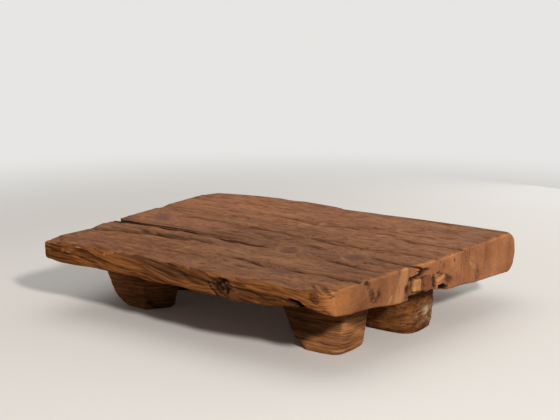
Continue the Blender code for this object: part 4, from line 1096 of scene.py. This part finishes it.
# right end: sawn face, torn hollows, cracks and pits
def tearEnd(skin):
    wear, y, z, face = endWear, skin.y, skin.z, skin.rightFace
    sawn = wear["rough"] * ripple(skin, wear["roughRow"], roughness)
    skin.raised += face * (sawn + wear["saw"] * ripple(skin, wear["sawRow"]))
    frayY = y + wear["fray"] * ripple(skin, wear["frayRowY"])
    frayZ = z + wear["fray"] * ripple(skin, wear["frayRowZ"], shift=wear["frayShift"])
    sunk = np.zeros(len(y))
    for hollow in endHollows:
        sunk = np.maximum(sunk, hollow["deep"] * np.exp(-ovalShare(frayY, frayZ, hollow) ** wear["steep"]))
    uneven = ripple(skin, wear["sunkRow"], shift=wear["sunkShift"])
    sunk *= wear["sunkLeast"] + wear["sunkMore"] * uneven
    for line in endCracks:
        if "flat" in line:
            share = lineShare(frayY, frayZ, line["run"], line["half"])
        else:
            share = lineShare(-frayZ, frayY, tuple((-b, a) for a, b in line["run"]), line["half"])
        sunk = np.maximum(sunk, line["deep"] * share)
    # a pale splinter left standing in the upper hollow
    splinter = lineShare(y, z, wear["splinter"]["run"], wear["splinter"]["half"]) * face
    sunk *= 1.0 - wear["splinter"]["deep"] * splinter
    mark(skin, "pale", splinter)
    specks = patches(skin, wear["speckPatch"])
    for pit in endPits:
        share = np.exp(-ovalShare(frayY, frayZ, pit) ** 4) * face
        skin.raised -= wear["pitDeep"] * share * specks
        mark(skin, "stain", wear["pitStain"] * pit["dark"] * share)
        mark(skin, "crack", wear["pitDark"] * pit["dark"] * share * specks)
    mark(skin, "crack", smoothStep(sunk, *wear["sunkDark"]) * face)
    mark(skin, "stain", wear["sunkStain"] * smoothStep(sunk, *wear["sunkGrey"]) * face)
    skin.sunk = sunk


# drying checks in both ends, and the bright upper lip of the right one
def checkEnds(skin):
    wear, y, z = endWear, skin.y, skin.z
    for line in scatterChecks(skin.draw, wear["checks"], wear["checkCount"], skin.yRange):
        share = lineShare(-z, y, line["run"], line["half"]) * skin.rightFace
        skin.raised -= wear["checkDeep"] * line["deep"] * share
        mark(skin, "crack", line["dark"] * share)
    leftDraw = np.random.RandomState(skin.seed + wear["leftSeed"])
    for line in scatterChecks(leftDraw, wear["leftChecks"], wear["leftCount"], skin.yRange):
        share = lineShare(-z, y, line["run"], line["half"]) * skin.leftFace
        skin.raised -= line["deep"] * share
        mark(skin, "crack", wear["leftDark"] * line["dark"] * share)
    lip = smoothStep(z, *wear["lipFrom"]) * near(skin.rightEnd - skin.x, *wear["lipReach"])
    mark(skin, "worn", wear["lip"] * lip * patches(skin, wear["lipPatch"]))


# pale bars on the right end, leaning in y as z rises: the chisel band and a splinter on each plank
endBars = {
    "band": {"at": (-0.1285, 0.1415), "lean": 0.36, "half": 0.0155, "power": 6, "pale": 0.55},
    "front": {"at": (-0.1676, 0.1217), "lean": 0.72, "half": 0.0038, "power": 2, "tall": 0.010, "pale": 1.0},
    "rear": {"at": (0.1398, 0.1399), "lean": -1.36, "half": 0.0058, "power": 2, "tall": 0.0105, "pale": 1.0},
}
endKnot = {"oval": spot(0.1684, 0.1153, 0.011, 0.009), "ringAt": 0.8, "ringHalf": 0.3, "stain": 0.7}
sawMarks = {"patch": (63, 0.0, 420.0, 12.0, 0.0, 0.5), "at": 0.115, "reach": 0.035,
            "deep": 0.0006, "stain": 0.65}


def markEnd(skin):
    y, z, face = skin.y, skin.z, skin.rightFace
    for key in (("band", "front") if skin.isFront else ("rear",)):
        bar = endBars[key]
        rise = z - bar["at"][1]
        away = ((y - bar["at"][0] - bar["lean"] * rise) / bar["half"]) ** bar["power"]
        if "tall" in bar:
            away = away + (rise / bar["tall"]) ** 4
        mark(skin, "pale", bar["pale"] * np.exp(-away) * face)
    if not skin.isFront:
        r = ovalShare(y, z, endKnot["oval"])
        ring = np.exp(-((r - endKnot["ringAt"]) / endKnot["ringHalf"]) ** 2)
        mark(skin, "stain", endKnot["stain"] * ring * face)
        saw = patches(skin, sawMarks["patch"]) * hill(y, sawMarks["at"], sawMarks["reach"]) * face
        skin.raised -= sawMarks["deep"] * saw
        mark(skin, "stain", sawMarks["stain"] * saw)


# broad tones: painted light that makes the wood paler towards the rear, painted shade along the
# left end's top rim and the rear edge, patchy along the grain; left is for the front and the rear plank
plankTone = {
    # rear is painted light, paler towards the rear
    "base": 0.05, "rear": 0.22, "rearFrom": (-0.20, 0.16),
    "right": 0.10, "rightFrom": (-0.10, 0.30), "rightUntil": (-0.20, 0.0),
    "left": (0.16, 0.10), "leftFrom": (0.0, 0.25), "end": 0.20, "endFrom": (-0.22, -0.12),
    "endKnot": 0.26, "endKnotAt": (0.140, 0.075), "endRear": 0.10, "endRearFrom": (0.17, 0.26),
    # rim and arris are painted shade along the left end's top rim, rearEdge painted shade on the rounded rear
    # edge
    "rim": 0.45, "rimReach": (0.003, 0.018), "rimAfter": 0.02, "arris": 0.30, "arrisReach": (0.002, 0.009),
    "rearEdge": 0.30, "rearEdgeReach": (0.010, 0.060), "rearRight": 0.10, "rearRightFrom": (0.0, 0.35),
    "side": 0.04, "sideRight": 0.25, "sideRightFrom": (-0.38, 0.36), "corner": 0.18,
    "lit": 0.28, "litAt": (-0.29, 0.12), "litFrontOf": (0.115, 0.122), "litBehind": (-0.172, -0.160),
    "middle": 0.07, "middleAt": (0.06, 0.20),
    "patch": 0.13, "patchRow": (70, 4.0, 9.0, 9.0), "streak": 0.09, "streakRow": (73, 5.0, 32.0, 45.0),
}


def tonePlank(skin):
    look, x, y, up = plankTone, skin.x, skin.y, skin.up
    upper = up > 0.0
    # painted light: paler towards the rear
    tone = look["base"] + look["rear"] * smoothStep(y, *look["rearFrom"])
    tone -= look["right"] * smoothStep(x, *look["rightFrom"]) * fadeOut(y, *look["rightUntil"])
    tone += look["left"][0 if skin.isFront else 1] * smoothStep(-x, *look["leftFrom"]) * up
    end = look["end"] * smoothStep(y, *look["endFrom"]) - look["endKnot"] * hill(y, *look["endKnotAt"])
    tone += skin.rightFace * (end + look["endRear"] * smoothStep(y, *look["endRearFrom"]))
    fromLeft = x - skin.leftEnd
    # painted shade along the left end's rounded top rim and its arris
    rim = near(fromLeft, *look["rimReach"]) * upper
    if skin.isFront:
        rim = rim * (y > skin.outerEdge + look["rimAfter"])
    tone -= look["rim"] * rim + look["arris"] * near(fromLeft, *look["arrisReach"]) * (rim > 0.0)
    if skin.isFront:
        rightwards = look["sideRight"] * smoothStep(x, *look["sideRightFrom"])
        tone += skin.paint["side"] * (look["side"] - rightwards + look["corner"] * skin.corner)
        lit = hill(x, *look["litAt"]) * smoothStep(-y, *look["litFrontOf"])
        lit = lit * smoothStep(y, *look["litBehind"]) * up
        tone += look["lit"] * lit - look["middle"] * hill(x, *look["middleAt"]) * up
    else:
        # painted shade on the rounded rear edge
        tone -= look["rearEdge"] * near(skin.fromEdge, *look["rearEdgeReach"]) * upper
        tone -= look["rearRight"] * smoothStep(x, *look["rearRightFrom"]) * up
    tone += look["patch"] * ripple(skin, look["patchRow"], roughness)
    tone += look["streak"] * ripple(skin, look["streakRow"], roughness)
    skin.paint["tone"] = tone


# which way a point has to face to count as top or end, and the seam lips that stay plain
plankFacing = {"up": (0.45, 0.85), "end": (0.35, 0.85), "lip": 0.0012, "lipFrom": 0.4}


def readPlank(isFront, fine):
    points, labels, faces = plankSkin(isFront, fine)
    skin = startSkin(points, faces, fine["seed"])
    skin.isFront, skin.fine, skin.labels = isFront, fine, labels
    skin.draw = np.random.RandomState(fine["seed"] + isFront)
    x, y, normals = skin.x, skin.y, skin.normals
    skin.yRange = (float(y.min()), float(y.max()))
    skin.rightEnd, skin.leftEnd = endX(isFront, y, 1.0), endX(isFront, y, 0.0)
    skin.u = (x - skin.leftEnd) / (skin.rightEnd - skin.leftEnd)
    skin.fromSeam = np.abs(y - seamLine(skin.u))
    # lips of the closed seam keep plain directions, so that both planks meet
    lip = (skin.fromSeam < plankFacing["lip"]) & (skin.u > plankFacing["lipFrom"])
    normals[lip & (labels == faceMarks["top"])] = (0.0, 0.0, 1.0)
    normals[lip & (labels == faceMarks["right"])] = (1.0, 0.0, 0.0)
    skin.up, skin.down = (smoothStep(s * normals[:, 2], *plankFacing["up"]) for s in (1.0, -1.0))
    skin.rightFace, skin.leftFace = (smoothStep(s * normals[:, 0], *plankFacing["end"]) for s in (1.0, -1.0))
    skin.paint["endFace"] = np.maximum(skin.rightFace, skin.leftFace)
    skin.notEnd = (1.0 - skin.rightFace) * (1.0 - skin.leftFace)
    hewn, seam = ("front", "rear") if isFront else ("rear", "front")
    skin.hewnSide, skin.seamSide = labels == faceMarks[hewn], labels == faceMarks[seam]
    skin.outerEdge = plankEdges(isFront, np.clip(skin.u, 0.0, 1.0))[0 if isFront else 1]
    skin.fromEdge = np.abs(y - skin.outerEdge)
    return skin


def dressPlank(isFront, fine):
    skin = readPlank(isFront, fine)
    wearTop(skin)
    openSeam(skin)
    hewEdge(skin)
    roughFaces(skin)
    if isFront:
        cutFrontEdge(skin)
        wearCorner(skin)
    tearEnd(skin)
    checkEnds(skin)
    markEnd(skin)
    tonePlank(skin)
    points = skin.points + skin.normals * skin.raised[:, None]
    inside = skin.rightEnd - skin.x
    wavy = endWear["wave"] * ripple(skin, endWear["waveRow"], roughness) * near(inside, *endWear["waveReach"])
    points[:, 0] += wavy
    points[:, 2] += shiftCorners(skin)
    # the end and the front edge are pushed back where they are torn
    tornX = np.minimum(points[:, 0], skin.rightEnd + wavy + endWear["stands"] - skin.sunk)
    points[:, 0] = np.where(inside < endWear["reach"], tornX, points[:, 0])
    if isFront:
        points[:, 1] = np.maximum(points[:, 1], skin.outerEdge - cutEdge["stands"] + skin.cutIn)
    return points, skin.faces, skin.paint


for nodeName, skinName, isFront, fine in (("front_plank", "frontPlankHewn", True, frontPlank),
                                          ("rear_plank", "rearPlankHewn", False, rearPlank)):
    points, faces, paint = dressPlank(isFront, fine)
    skin = makeMesh(skinName, points, faces, paint, plankWood)
    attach(skin, "root")
    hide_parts(nodeName)

# the legs: blocks that draw in to a rounded heel; draw is left, right, front and rear,
# then painted shade under the top: how dark the leg gets and between which heights
legs = {
    "front_left": {"fromEnd": 0.141, "fromSeam": 0.0626, "width": 0.200, "depth": 0.074,
                   "draw": (0.0564, 0.0092, 0.0074, 0.0142), "skewFront": 0.064, "skewRear": 0.004,
                   "square": 7.0, "tone": -0.05, "underTopShade": (0.30, 0.085, 0.115), "seed": 101},
    # the front right leg's tone is partly its paler wood and partly painted light on its lit lower part
    "front_right": {"fromEnd": 0.154, "fromSeam": 0.0634, "width": 0.181, "depth": 0.115,
                    "draw": (0.0537, 0.0166, 0.0020, 0.0020), "square": 4.2,
                    "tone": 0.66, "underTopShade": (0.0, 0.044, 0.074), "seed": 102},
    "rear_left": {"fromEnd": 0.114, "fromSeam": 0.1487, "width": 0.140, "depth": 0.150,
                  "draw": (0.0220, 0.0060, 0.0120, 0.0140), "square": 4.2,
                  "tone": -0.10, "underTopShade": (0.40, 0.060, 0.090), "seed": 103},
    "rear_right": {"fromEnd": 0.129, "fromSeam": 0.1487, "width": 0.140, "depth": 0.153,
                   "draw": (0.0175, 0.0020, 0.0178, 0.0110), "square": 4.2,
                   "tone": -0.11, "underTopShade": (0.55, 0.064, 0.088), "seed": 104},
}
legShape = {"heel": 0.003, "heelShare": 0.52, "taper": 0.76, "shoulder": 0.033, "housing": 0.006,
            "around": 192, "levels": 90, "levelPower": 1.35, "shoulderLevel": 0.012, "caps": 12}


def sideProfile(draw, z, taperTop):
    heel = legShape["heel"] + legShape["heelShare"] * draw
    return draw * (1.0 - np.minimum(z / taperTop, 1.0) ** legShape["taper"]) + roundIn(z, heel)


def loftRings(rings, capSteps):
    count = rings.shape[1]
    low, high = rings[0], rings[-1]
    inner = np.linspace(1.0, 0.0, capSteps + 1)[1:-1]
    lowMiddle, highMiddle = low.mean(0), high.mean(0)
    stack = [lowMiddle + (low - lowMiddle) * s for s in inner[::-1]] + list(rings)
    stack += [highMiddle + (high - highMiddle) * s for s in inner]
    points = np.concatenate(stack + [lowMiddle[None], highMiddle[None]])
    start = np.arange(len(stack) - 1)[:, None] * count
    here = start + np.arange(count)
    nextOne = start + (np.arange(count) + 1) % count
    faces = np.stack([here, nextOne, nextOne + count, here + count], 2).reshape(-1, 4).tolist()
    lastRing = (len(stack) - 1) * count
    lowId, highId = len(points) - 2, len(points) - 1
    for index in range(count):
        after = (index + 1) % count
        faces.append((after, index, lowId))
        faces.append((lastRing + index, lastRing + after, highId))
    return points, faces


def legSkin(name, leg):
    isFront = name.startswith("front")
    y0 = top["seamY"] + (-leg["fromSeam"] if isFront else leg["fromSeam"])
    leftEnd, rightEnd = endX(isFront, y0, 0.0), endX(isFront, y0, 1.0)
    x0 = leftEnd + leg["fromEnd"] if name.endswith("left") else rightEnd - leg["fromEnd"]
    seat = underside((x0 - leftEnd) / (rightEnd - leftEnd), y0 - leg["depth"] / 2.0) + legShape["housing"]
    taperTop = seat - legShape["shoulder"]
    levels = taperTop * np.linspace(0.0, 1.0, legShape["levels"]) ** legShape["levelPower"]
    levels = np.concatenate([levels, [seat - legShape["shoulderLevel"], seat]])
    angles = fullTurn * (np.arange(legShape["around"]) + 0.5) / legShape["around"]
    cosine, sine = np.cos(angles), np.sin(angles)
    power = 2.0 / leg["square"]
    rings = []
    for level in levels:
        left, right, front, rear = (sideProfile(draw, level, taperTop) for draw in leg["draw"])
        reachX = leg["width"] / 2.0 - np.where(cosine > 0.0, right, left)
        reachY = leg["depth"] / 2.0 - np.where(sine > 0.0, rear, front)
        px = np.sign(cosine) * np.abs(cosine) ** power * reachX + x0
        py = np.sign(sine) * np.abs(sine) ** power * reachY + y0
        if "skewFront" in leg:  # the right side is cut back on a slant
            behind = (py - y0) / leg["depth"] + 0.5
            skew = leg["skewFront"] + (leg["skewRear"] - leg["skewFront"]) * behind
            px = np.minimum(px, x0 + leg["width"] / 2.0 - skew - right)
        rings.append(np.stack([px, py, np.full(len(px), level)], 1))
    skin = startSkin(*loftRings(np.array(rings), legShape["caps"]), leg["seed"])
    skin.x0, skin.y0, skin.taperTop = x0, y0, taperTop
    return skin


legWear = {
    "wallUntil": (0.6, 0.95), "seatFade": (-0.004, 0.006), "facet": 0.0020, "facetRow": (0, 17.0, 17.0, 15.0),
    "furrow": 0.0006, "furrowRow": (4, 9.0, 9.0, 210.0), "fibre": 0.0006, "fibreRow": (6, 24.0, 24.0, 300.0),
    "checks": {"along": (-0.10, 0.06), "long": (0.02, 0.08), "half": (0.0006, 0.0013), "slope": 0.10},
    "checkCount": 6, "checkLow": 0.008, "checkShift": 0.02, "checkDeep": 1.3,
    "checkWave": 0.0015, "checkRow": (8, 40.0, 40.0, 0.0),
    "heel": 0.0030, "heelUntil": (0.004, 0.020), "heelPatch": (9, 30.0, 30.0, 30.0, 0.1, 0.7),
    "worn": 0.40, "wornPatch": (10, 14.0, 14.0, 40.0, 0.0, 0.6), "wornOnFlat": 0.45, "cornerBand": 0.35,
    "stain": 0.30, "stainPatch": (11, 10.0, 10.0, 36.0, 0.05, 0.6),
    # the foot entries are painted shade at the foot
    "patch": 0.12, "patchRow": (16, 9.0, 9.0, 20.0), "footShade": 0.30, "footShadeUntil": (0.003, 0.012),
}
# a ragged arris down the front face of the front left leg, with painted light to its left and painted shade
# to its right
raggedArris = {
    "x": -0.231, "lean": 0.2, "leanFrom": 0.04, "half": 0.008, "ragged": 0.004,
    "raggedRow": (13, 0.0, 0.0, 90.0), "facing": (0.3, 0.6),
    "deep": 0.006, "deepPatch": (14, 0.0, 0.0, 120.0, -0.3, 0.4),
    "dark": 0.7, "darkPatch": (15, 90.0, 0.0, 120.0, -0.2, 0.4), "shift": (0.0, 3.0, 0.0),
    "leftTone": 0.22, "paintedShadeRight": 0.50, "toneFrom": (-0.236, -0.226), "toneFacing": (0.2, 0.5),
}
# painted shade on the upper part of the front right leg, where the top's shadow falls: its edge climbs to the
# right in front and falls to the rear
paintedLegShade = {"front": 0.013, "frontSlope": 0.5, "frontX": 0.236,
            "side": 0.063, "sideSlope": -0.28, "sideY": -0.2,
            "facing": (0.45, 0.75), "dark": 1.18, "wave": 0.006, "row": (17, 40.0, 40.0, 40.0), "fade": 0.012}
# the pale bare patch on the rear right leg, as y and z
barePatch = {"at": (0.043, 0.037), "half": (0.037, 0.0175), "lean": 0.12, "facing": (0.25, 0.6),
             "row": (12, 20.0, 40.0, 55.0), "fineRow": (14, 60.0, 95.0, 190.0), "fine": 0.7,
             "from": (-0.50, 0.25)}


# facets, furrows and checks on the walls of a leg
def wearLeg(skin):
    wear, x, y, z = legWear, skin.x, skin.y, skin.z
    skin.wall = fadeOut(np.abs(skin.normals[:, 2]), *wear["wallUntil"])
    skin.below = fadeOut(z, *(skin.taperTop + step for step in wear["seatFade"]))
    facet = wear["facet"] * ripple(skin, wear["facetRow"], roughness)
    furrow = wear["furrow"] * ripple(skin, wear["furrowRow"], ridges)
    furrow = furrow + wear["fibre"] * ripple(skin, wear["fibreRow"])
    skin.raised += skin.wall * skin.below * (facet + furrow)
    sideways, lengthways = np.abs(skin.normals[:, 0]), np.abs(skin.normals[:, 1])
    around = np.where(lengthways > sideways, x - skin.x0, y - skin.y0)
    wavy = z + wear["checkWave"] * ripple(skin, wear["checkRow"])
    draw = np.random.RandomState(skin.seed)
    for line in scatterChecks(draw, wear["checks"], wear["checkCount"], (wear["checkLow"], skin.taperTop)):
        shifted = around + draw.uniform(-wear["checkShift"], wear["checkShift"])
        share = lineShare(shifted, wavy, line["run"], line["half"]) * skin.wall * skin.below
        skin.raised -= wear["checkDeep"] * line["deep"] * share
        mark(skin, "crack", line["dark"] * share)
    heel = fadeOut(z, *wear["heelUntil"]) * skin.wall
    skin.raised -= wear["heel"] * heel * patches(skin, wear["heelPatch"])
    rubbed = np.where(np.abs(sideways - lengthways) < wear["cornerBand"], 1.0, wear["wornOnFlat"])
    skin.paint["worn"] = wear["worn"] * skin.wall * patches(skin, wear["wornPatch"]) * rubbed
    skin.paint["stain"] = wear["stain"] * skin.wall * patches(skin, wear["stainPatch"])


# what only one leg has
def markLeg(name, skin):
    x, y, z, facingX, facingFront = skin.x, skin.y, skin.z, skin.normals[:, 0], -skin.normals[:, 1]
    if name == "front_left":
        look = raggedArris
        leaning = x + look["lean"] * (z - look["leanFrom"])
        ragged = look["ragged"] * ripple(skin, look["raggedRow"])
        notch = np.exp(-((leaning - look["x"] + ragged) / look["half"]) ** 2)
        notch = notch * smoothStep(facingFront, *look["facing"]) * skin.below
        skin.raised -= look["deep"] * notch * patches(skin, look["deepPatch"], shift=look["shift"])
        mark(skin, "crack", look["dark"] * notch * patches(skin, look["darkPatch"], shift=look["shift"]))
        # painted light left of the arris, painted shade right of it
        step = look["leftTone"] - look["paintedShadeRight"] * smoothStep(leaning, *look["toneFrom"])
        skin.paint["tone"] += step * smoothStep(facingFront, *look["toneFacing"])
    if name == "front_right":
        look = paintedLegShade
        facing = smoothStep(facingX, *look["facing"])
        front = look["front"] + look["frontSlope"] * (x - look["frontX"])
        edge = front * (1.0 - facing) + (look["side"] + look["sideSlope"] * (y - look["sideY"])) * facing
        above = z - edge + look["wave"] * ripple(skin, look["row"])
        # painted shade above the edge
        skin.paint["tone"] -= look["dark"] * smoothStep(above, -look["fade"], look["fade"])
    if name == "rear_right":
        look = barePatch
        leaning = z + look["lean"] * (y - look["at"][0])
        patch = boxShare(y, leaning, look) * smoothStep(facingX, *look["facing"])
        ragged = ripple(skin, look["row"]) + look["fine"] * ripple(skin, look["fineRow"])
        skin.paint["pale"] = patch * smoothStep(ragged, *look["from"])


def dressLeg(name, leg):
    wear = legWear
    skin = legSkin(name, leg)
    wearLeg(skin)
    # painted shade under the top and at the foot
    underTopShade, *underTopShadeFrom = leg["underTopShade"]
    tone = leg["tone"] + wear["patch"] * ripple(skin, wear["patchRow"], roughness)
    tone -= underTopShade * smoothStep(skin.z, *underTopShadeFrom) + wear["footShade"] * fadeOut(skin.z, *wear["footShadeUntil"])
    skin.paint["tone"] = tone
    markLeg(name, skin)
    points = skin.points + skin.normals * skin.raised[:, None]
    points[:, 2] = np.maximum(points[:, 2], 0.0)
    pieceName = name.replace("_l", "L").replace("_r", "R") + "LegHewn"
    wood = rearLegWood if name.startswith("rear") else legWood
    piece = makeMesh(pieceName, points, skin.faces, skin.paint, wood)
    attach(piece, "root")
    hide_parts(name + "_leg")


for key, leg in legs.items():
    dressLeg(key, leg)

# the pieces left in the torn end
tornPieces = {
    "torn_end_block": {"beside": 0.0245, "below": 0.0435, "wide": 0.030, "tall": 0.025, "long": 0.050,
                       "back": -0.0020, "turn": -6.0, "corner": 0.0025, "rough": 0.0007,
                       "wood": tornWood, "seed": 201},
    "torn_end_plug": {"beside": 0.067, "below": 0.048, "wide": 0.034, "tall": 0.034, "long": 0.048,
                      "back": 0.0010, "turn": -4.0, "corner": 0.012, "rough": 0.0012,
                      "wood": plugWood, "seed": 202},
    "torn_end_sliver": {"beside": 0.1065, "below": 0.0445, "wide": 0.036, "tall": 0.0070, "long": 0.062,
                        "back": -0.0040, "turn": 7.0, "corner": 0.002, "rough": 0.0006,
                        "wood": tornWood, "seed": 203},
}
tornFine = {"turns": 8, "around": 96, "rings": 22, "caps": 12, "arris": 0.0018,
            "arrisRings": (-0.0009, -0.0003, 0.0)}
tornWear = {
    "roughRow": (0, 40.0, 90.0, 90.0), "fine": 0.6, "fineRow": (4, 30.0, 260.0, 260.0),
    "split": 0.0010, "splitPatch": (6, 10.0, 120.0, 120.0, 0.52, 0.75), "splitDark": 0.55,
    # painted shade on the sides inside the pocket
    "pocketShade": 0.85, "pocketShadeFrom": (0.003, 0.009), "pocketShadeFacing": (0.3, 0.7),
    "stain": 0.25, "stainPatch": (8, 30.0, 60.0, 60.0, 0.0, 0.6),
}


# a rounded oblong, its points evenly spaced
def tornOutline(piece):
    c, outline = piece["corner"], []
    for start, sy, sz in ((0.0, 1, 1), (90.0, -1, 1), (180.0, -1, -1), (270.0, 1, -1)):
        for step in range(tornFine["turns"] + 1):
            a = math.radians(start + 90.0 * step / tornFine["turns"])
            y = sy * (piece["wide"] / 2.0 - c) + c * math.cos(a)
            outline.append((y, sz * (piece["tall"] / 2.0 - c) + c * math.sin(a)))
    closed = np.array(outline + outline[:1])
    lengths = np.concatenate([[0.0], np.cumsum(np.hypot(*np.diff(closed, axis=0).T))])
    even = np.linspace(0.0, lengths[-1], tornFine["around"] + 1)[:-1]
    return np.interp(even, lengths, closed[:, 0]), np.interp(even, lengths, closed[:, 1])


def dressTorn(name, piece):
    y0 = float(seamLine(1.0)) + piece["beside"]
    x0 = float(endX(False, y0, 1.0)) - piece["back"]
    z0 = top["height"] - piece["below"]
    oy, oz = tornOutline(piece)
    turn, arris = math.radians(piece["turn"]), tornFine["arris"]
    along = np.linspace(-piece["long"], -arris, tornFine["rings"])
    rings = []
    for step in np.concatenate([along, tornFine["arrisRings"]]):
        shrink = 1.0 - 2.0 * float(roundIn(np.array(-step), arris)) / min(piece["wide"], piece["tall"])
        ry, rz = oy * shrink, oz * shrink
        y = y0 + ry * math.cos(turn) - rz * math.sin(turn)
        z = z0 + ry * math.sin(turn) + rz * math.cos(turn)
        rings.append(np.stack([np.full(len(ry), x0 + step), y, z], 1))
    wear, skin = tornWear, startSkin(*loftRings(np.array(rings), tornFine["caps"]), piece["seed"])
    fine = wear["fine"] * ripple(skin, wear["fineRow"])
    skin.raised += piece["rough"] * (ripple(skin, wear["roughRow"], roughness) + fine)
    split = patches(skin, wear["splitPatch"])
    skin.raised -= wear["split"] * split
    # painted shade on the sides that lie inside the pocket
    pocketShade = smoothStep(x0 - skin.x, *wear["pocketShadeFrom"]) * fadeOut(skin.normals[:, 0], *wear["pocketShadeFacing"])
    # the crack paint holds the real splits and the pocket's painted shade
    skin.paint["crack"] = np.maximum(wear["splitDark"] * split, wear["pocketShade"] * pocketShade)
    skin.paint["stain"] = wear["stain"] * patches(skin, wear["stainPatch"])
    points = skin.points + skin.normals * skin.raised[:, None]
    shape = makeMesh("torn" + name.split("_")[-1].capitalize(), points, skin.faces, skin.paint, piece["wood"])
    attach(shape, "root")
    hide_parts(name)


for key, piece in tornPieces.items():
    dressTorn(key, piece)

# hidden joinery keeps the solids' own shape
for key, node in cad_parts.items():
    if key.endswith("_wedge") or key.startswith("seam_"):
        node.data.materials.clear()
        node.data.materials.append(pegWood)
print("joinery finished")

# floor, light and camera
stageSet = {
    "floor": (0.80, 0.77, 0.73), "floorBounce": (0.50, 0.36, 0.23), "floorRough": 0.9, "reach": 60.0,
    "backdrop": (0.80, 0.79, 0.775), "shadowReach": (1.0, 2.6), "sky": 0.24, "skyColour": (1.0, 0.99, 0.97),
    "keyFrom": (0.728, -0.497, 0.473), "keyAway": 6.0, "aim": (0.0, 0.0, 0.1),
}
# place, width, power and colour
lamps = {
    "fillLamp": ((-0.3, -0.2, 2.6), 3.0, 20.0, (1.0, 0.99, 0.97)),
    "bounceLamp": ((0.2, 1.5, 0.75), 1.8, 5.0, (1.0, 0.99, 0.97)),
}
keyLamp = {"size": 0.50, "power": 300.0, "colour": (1.0, 0.97, 0.93)}


# rays that come from the camera, also by way of a shine or through something
def seenRays(tree):
    rays = addNode(tree, "ShaderNodeLightPath")
    seen = plus(tree, rays.outputs["Is Camera Ray"], rays.outputs["Is Glossy Ray"])
    return plus(tree, seen, rays.outputs["Is Transmission Ray"])


def mixShaders(tree, share, a, b, output):
    mixed = addNode(tree, "ShaderNodeMixShader")
    for socket, source in zip(mixed.inputs, (share, a, b)):
        tree.links.new(source, socket)
    tree.links.new(mixed.outputs[0], tree.nodes[output].inputs[0])


# far from the table the floor turns into an even pale backdrop wherever it is seen
def makeFloor():
    material = bpy.data.materials.new("paleFloor")
    material.use_nodes = True
    tree = material.node_tree
    shader = tree.nodes["Principled BSDF"]
    seen = seenRays(tree)
    colour = tint(tree, seen, stageSet["floorBounce"], stageSet["floor"])
    tree.links.new(colour, shader.inputs["Base Color"])
    shader.inputs["Roughness"].default_value = stageSet["floorRough"]
    away = addNode(tree, "ShaderNodeVectorMath", operation="LENGTH")
    tree.links.new(addNode(tree, "ShaderNodeTexCoord").outputs["Object"], away.inputs[0])
    far = times(tree, spread(tree, away.outputs["Value"], *stageSet["shadowReach"]), seen)
    glow = addNode(tree, "ShaderNodeEmission")
    glow.inputs[0].default_value = stageSet["backdrop"] + (1.0,)
    mixShaders(tree, far, shader.outputs[0], glow.outputs[0], "Material Output")
    reach = stageSet["reach"]
    corners = [(x * reach, y * reach, 0.0) for x, y in ((-1, -1), (1, -1), (1, 1), (-1, 1))]
    mesh = bpy.data.meshes.new("floor")
    mesh.from_pydata(corners, [], [(0, 1, 2, 3)])
    mesh.materials.append(material)
    holder = bpy.data.objects.new("floor", mesh)
    bpy.context.collection.objects.link(holder)
    return holder


def addLamp(name, place, size, power, colour):
    lamp = bpy.data.lights.new(name, "AREA")
    lamp.shape = "DISK"
    lamp.size, lamp.energy, lamp.color = size, power, colour
    holder = bpy.data.objects.new(name, lamp)
    bpy.context.collection.objects.link(holder)
    holder.location = place
    aim = np.array(stageSet["aim"]) - np.array(place)
    aim /= np.linalg.norm(aim)
    holder.rotation_euler = (math.acos(-aim[2]), 0.0, math.atan2(-aim[0], aim[1]))


def makeSky():
    world = bpy.data.worlds.new("studio")
    bpy.context.scene.world = world
    world.use_nodes = True
    tree = world.node_tree
    skyLight = tree.nodes["Background"]
    skyLight.inputs[0].default_value = stageSet["skyColour"] + (1.0,)
    skyLight.inputs[1].default_value = stageSet["sky"]
    skySeen = addNode(tree, "ShaderNodeBackground")
    skySeen.inputs[0].default_value = stageSet["backdrop"] + (1.0,)
    mixShaders(tree, seenRays(tree), skyLight.outputs[0], skySeen.outputs[0], "World Output")


floor = makeFloor()
keyPlace = np.array(stageSet["keyFrom"]) / np.linalg.norm(stageSet["keyFrom"]) * stageSet["keyAway"]
addLamp("keyLamp", tuple(float(c) for c in keyPlace), keyLamp["size"], keyLamp["power"], keyLamp["colour"])
for name, values in lamps.items():
    addLamp(name, *values)
makeSky()

shot = {"lens": 73.93, "sensor": 36.0, "place": (1.5458, -2.1493, 0.7755), "tilt": 78.451, "turn": 35.509}
cameraData = bpy.data.cameras.new("camera")
cameraData.lens, cameraData.sensor_width = shot["lens"], shot["sensor"]
camera = bpy.data.objects.new("camera", cameraData)
bpy.context.collection.objects.link(camera)
camera.location = shot["place"]
camera.rotation_euler = (math.radians(shot["tilt"]), 0.0, math.radians(shot["turn"]))
bpy.context.scene.camera = camera
bpy.context.scene.view_settings.view_transform = "Standard"
print("stage set")
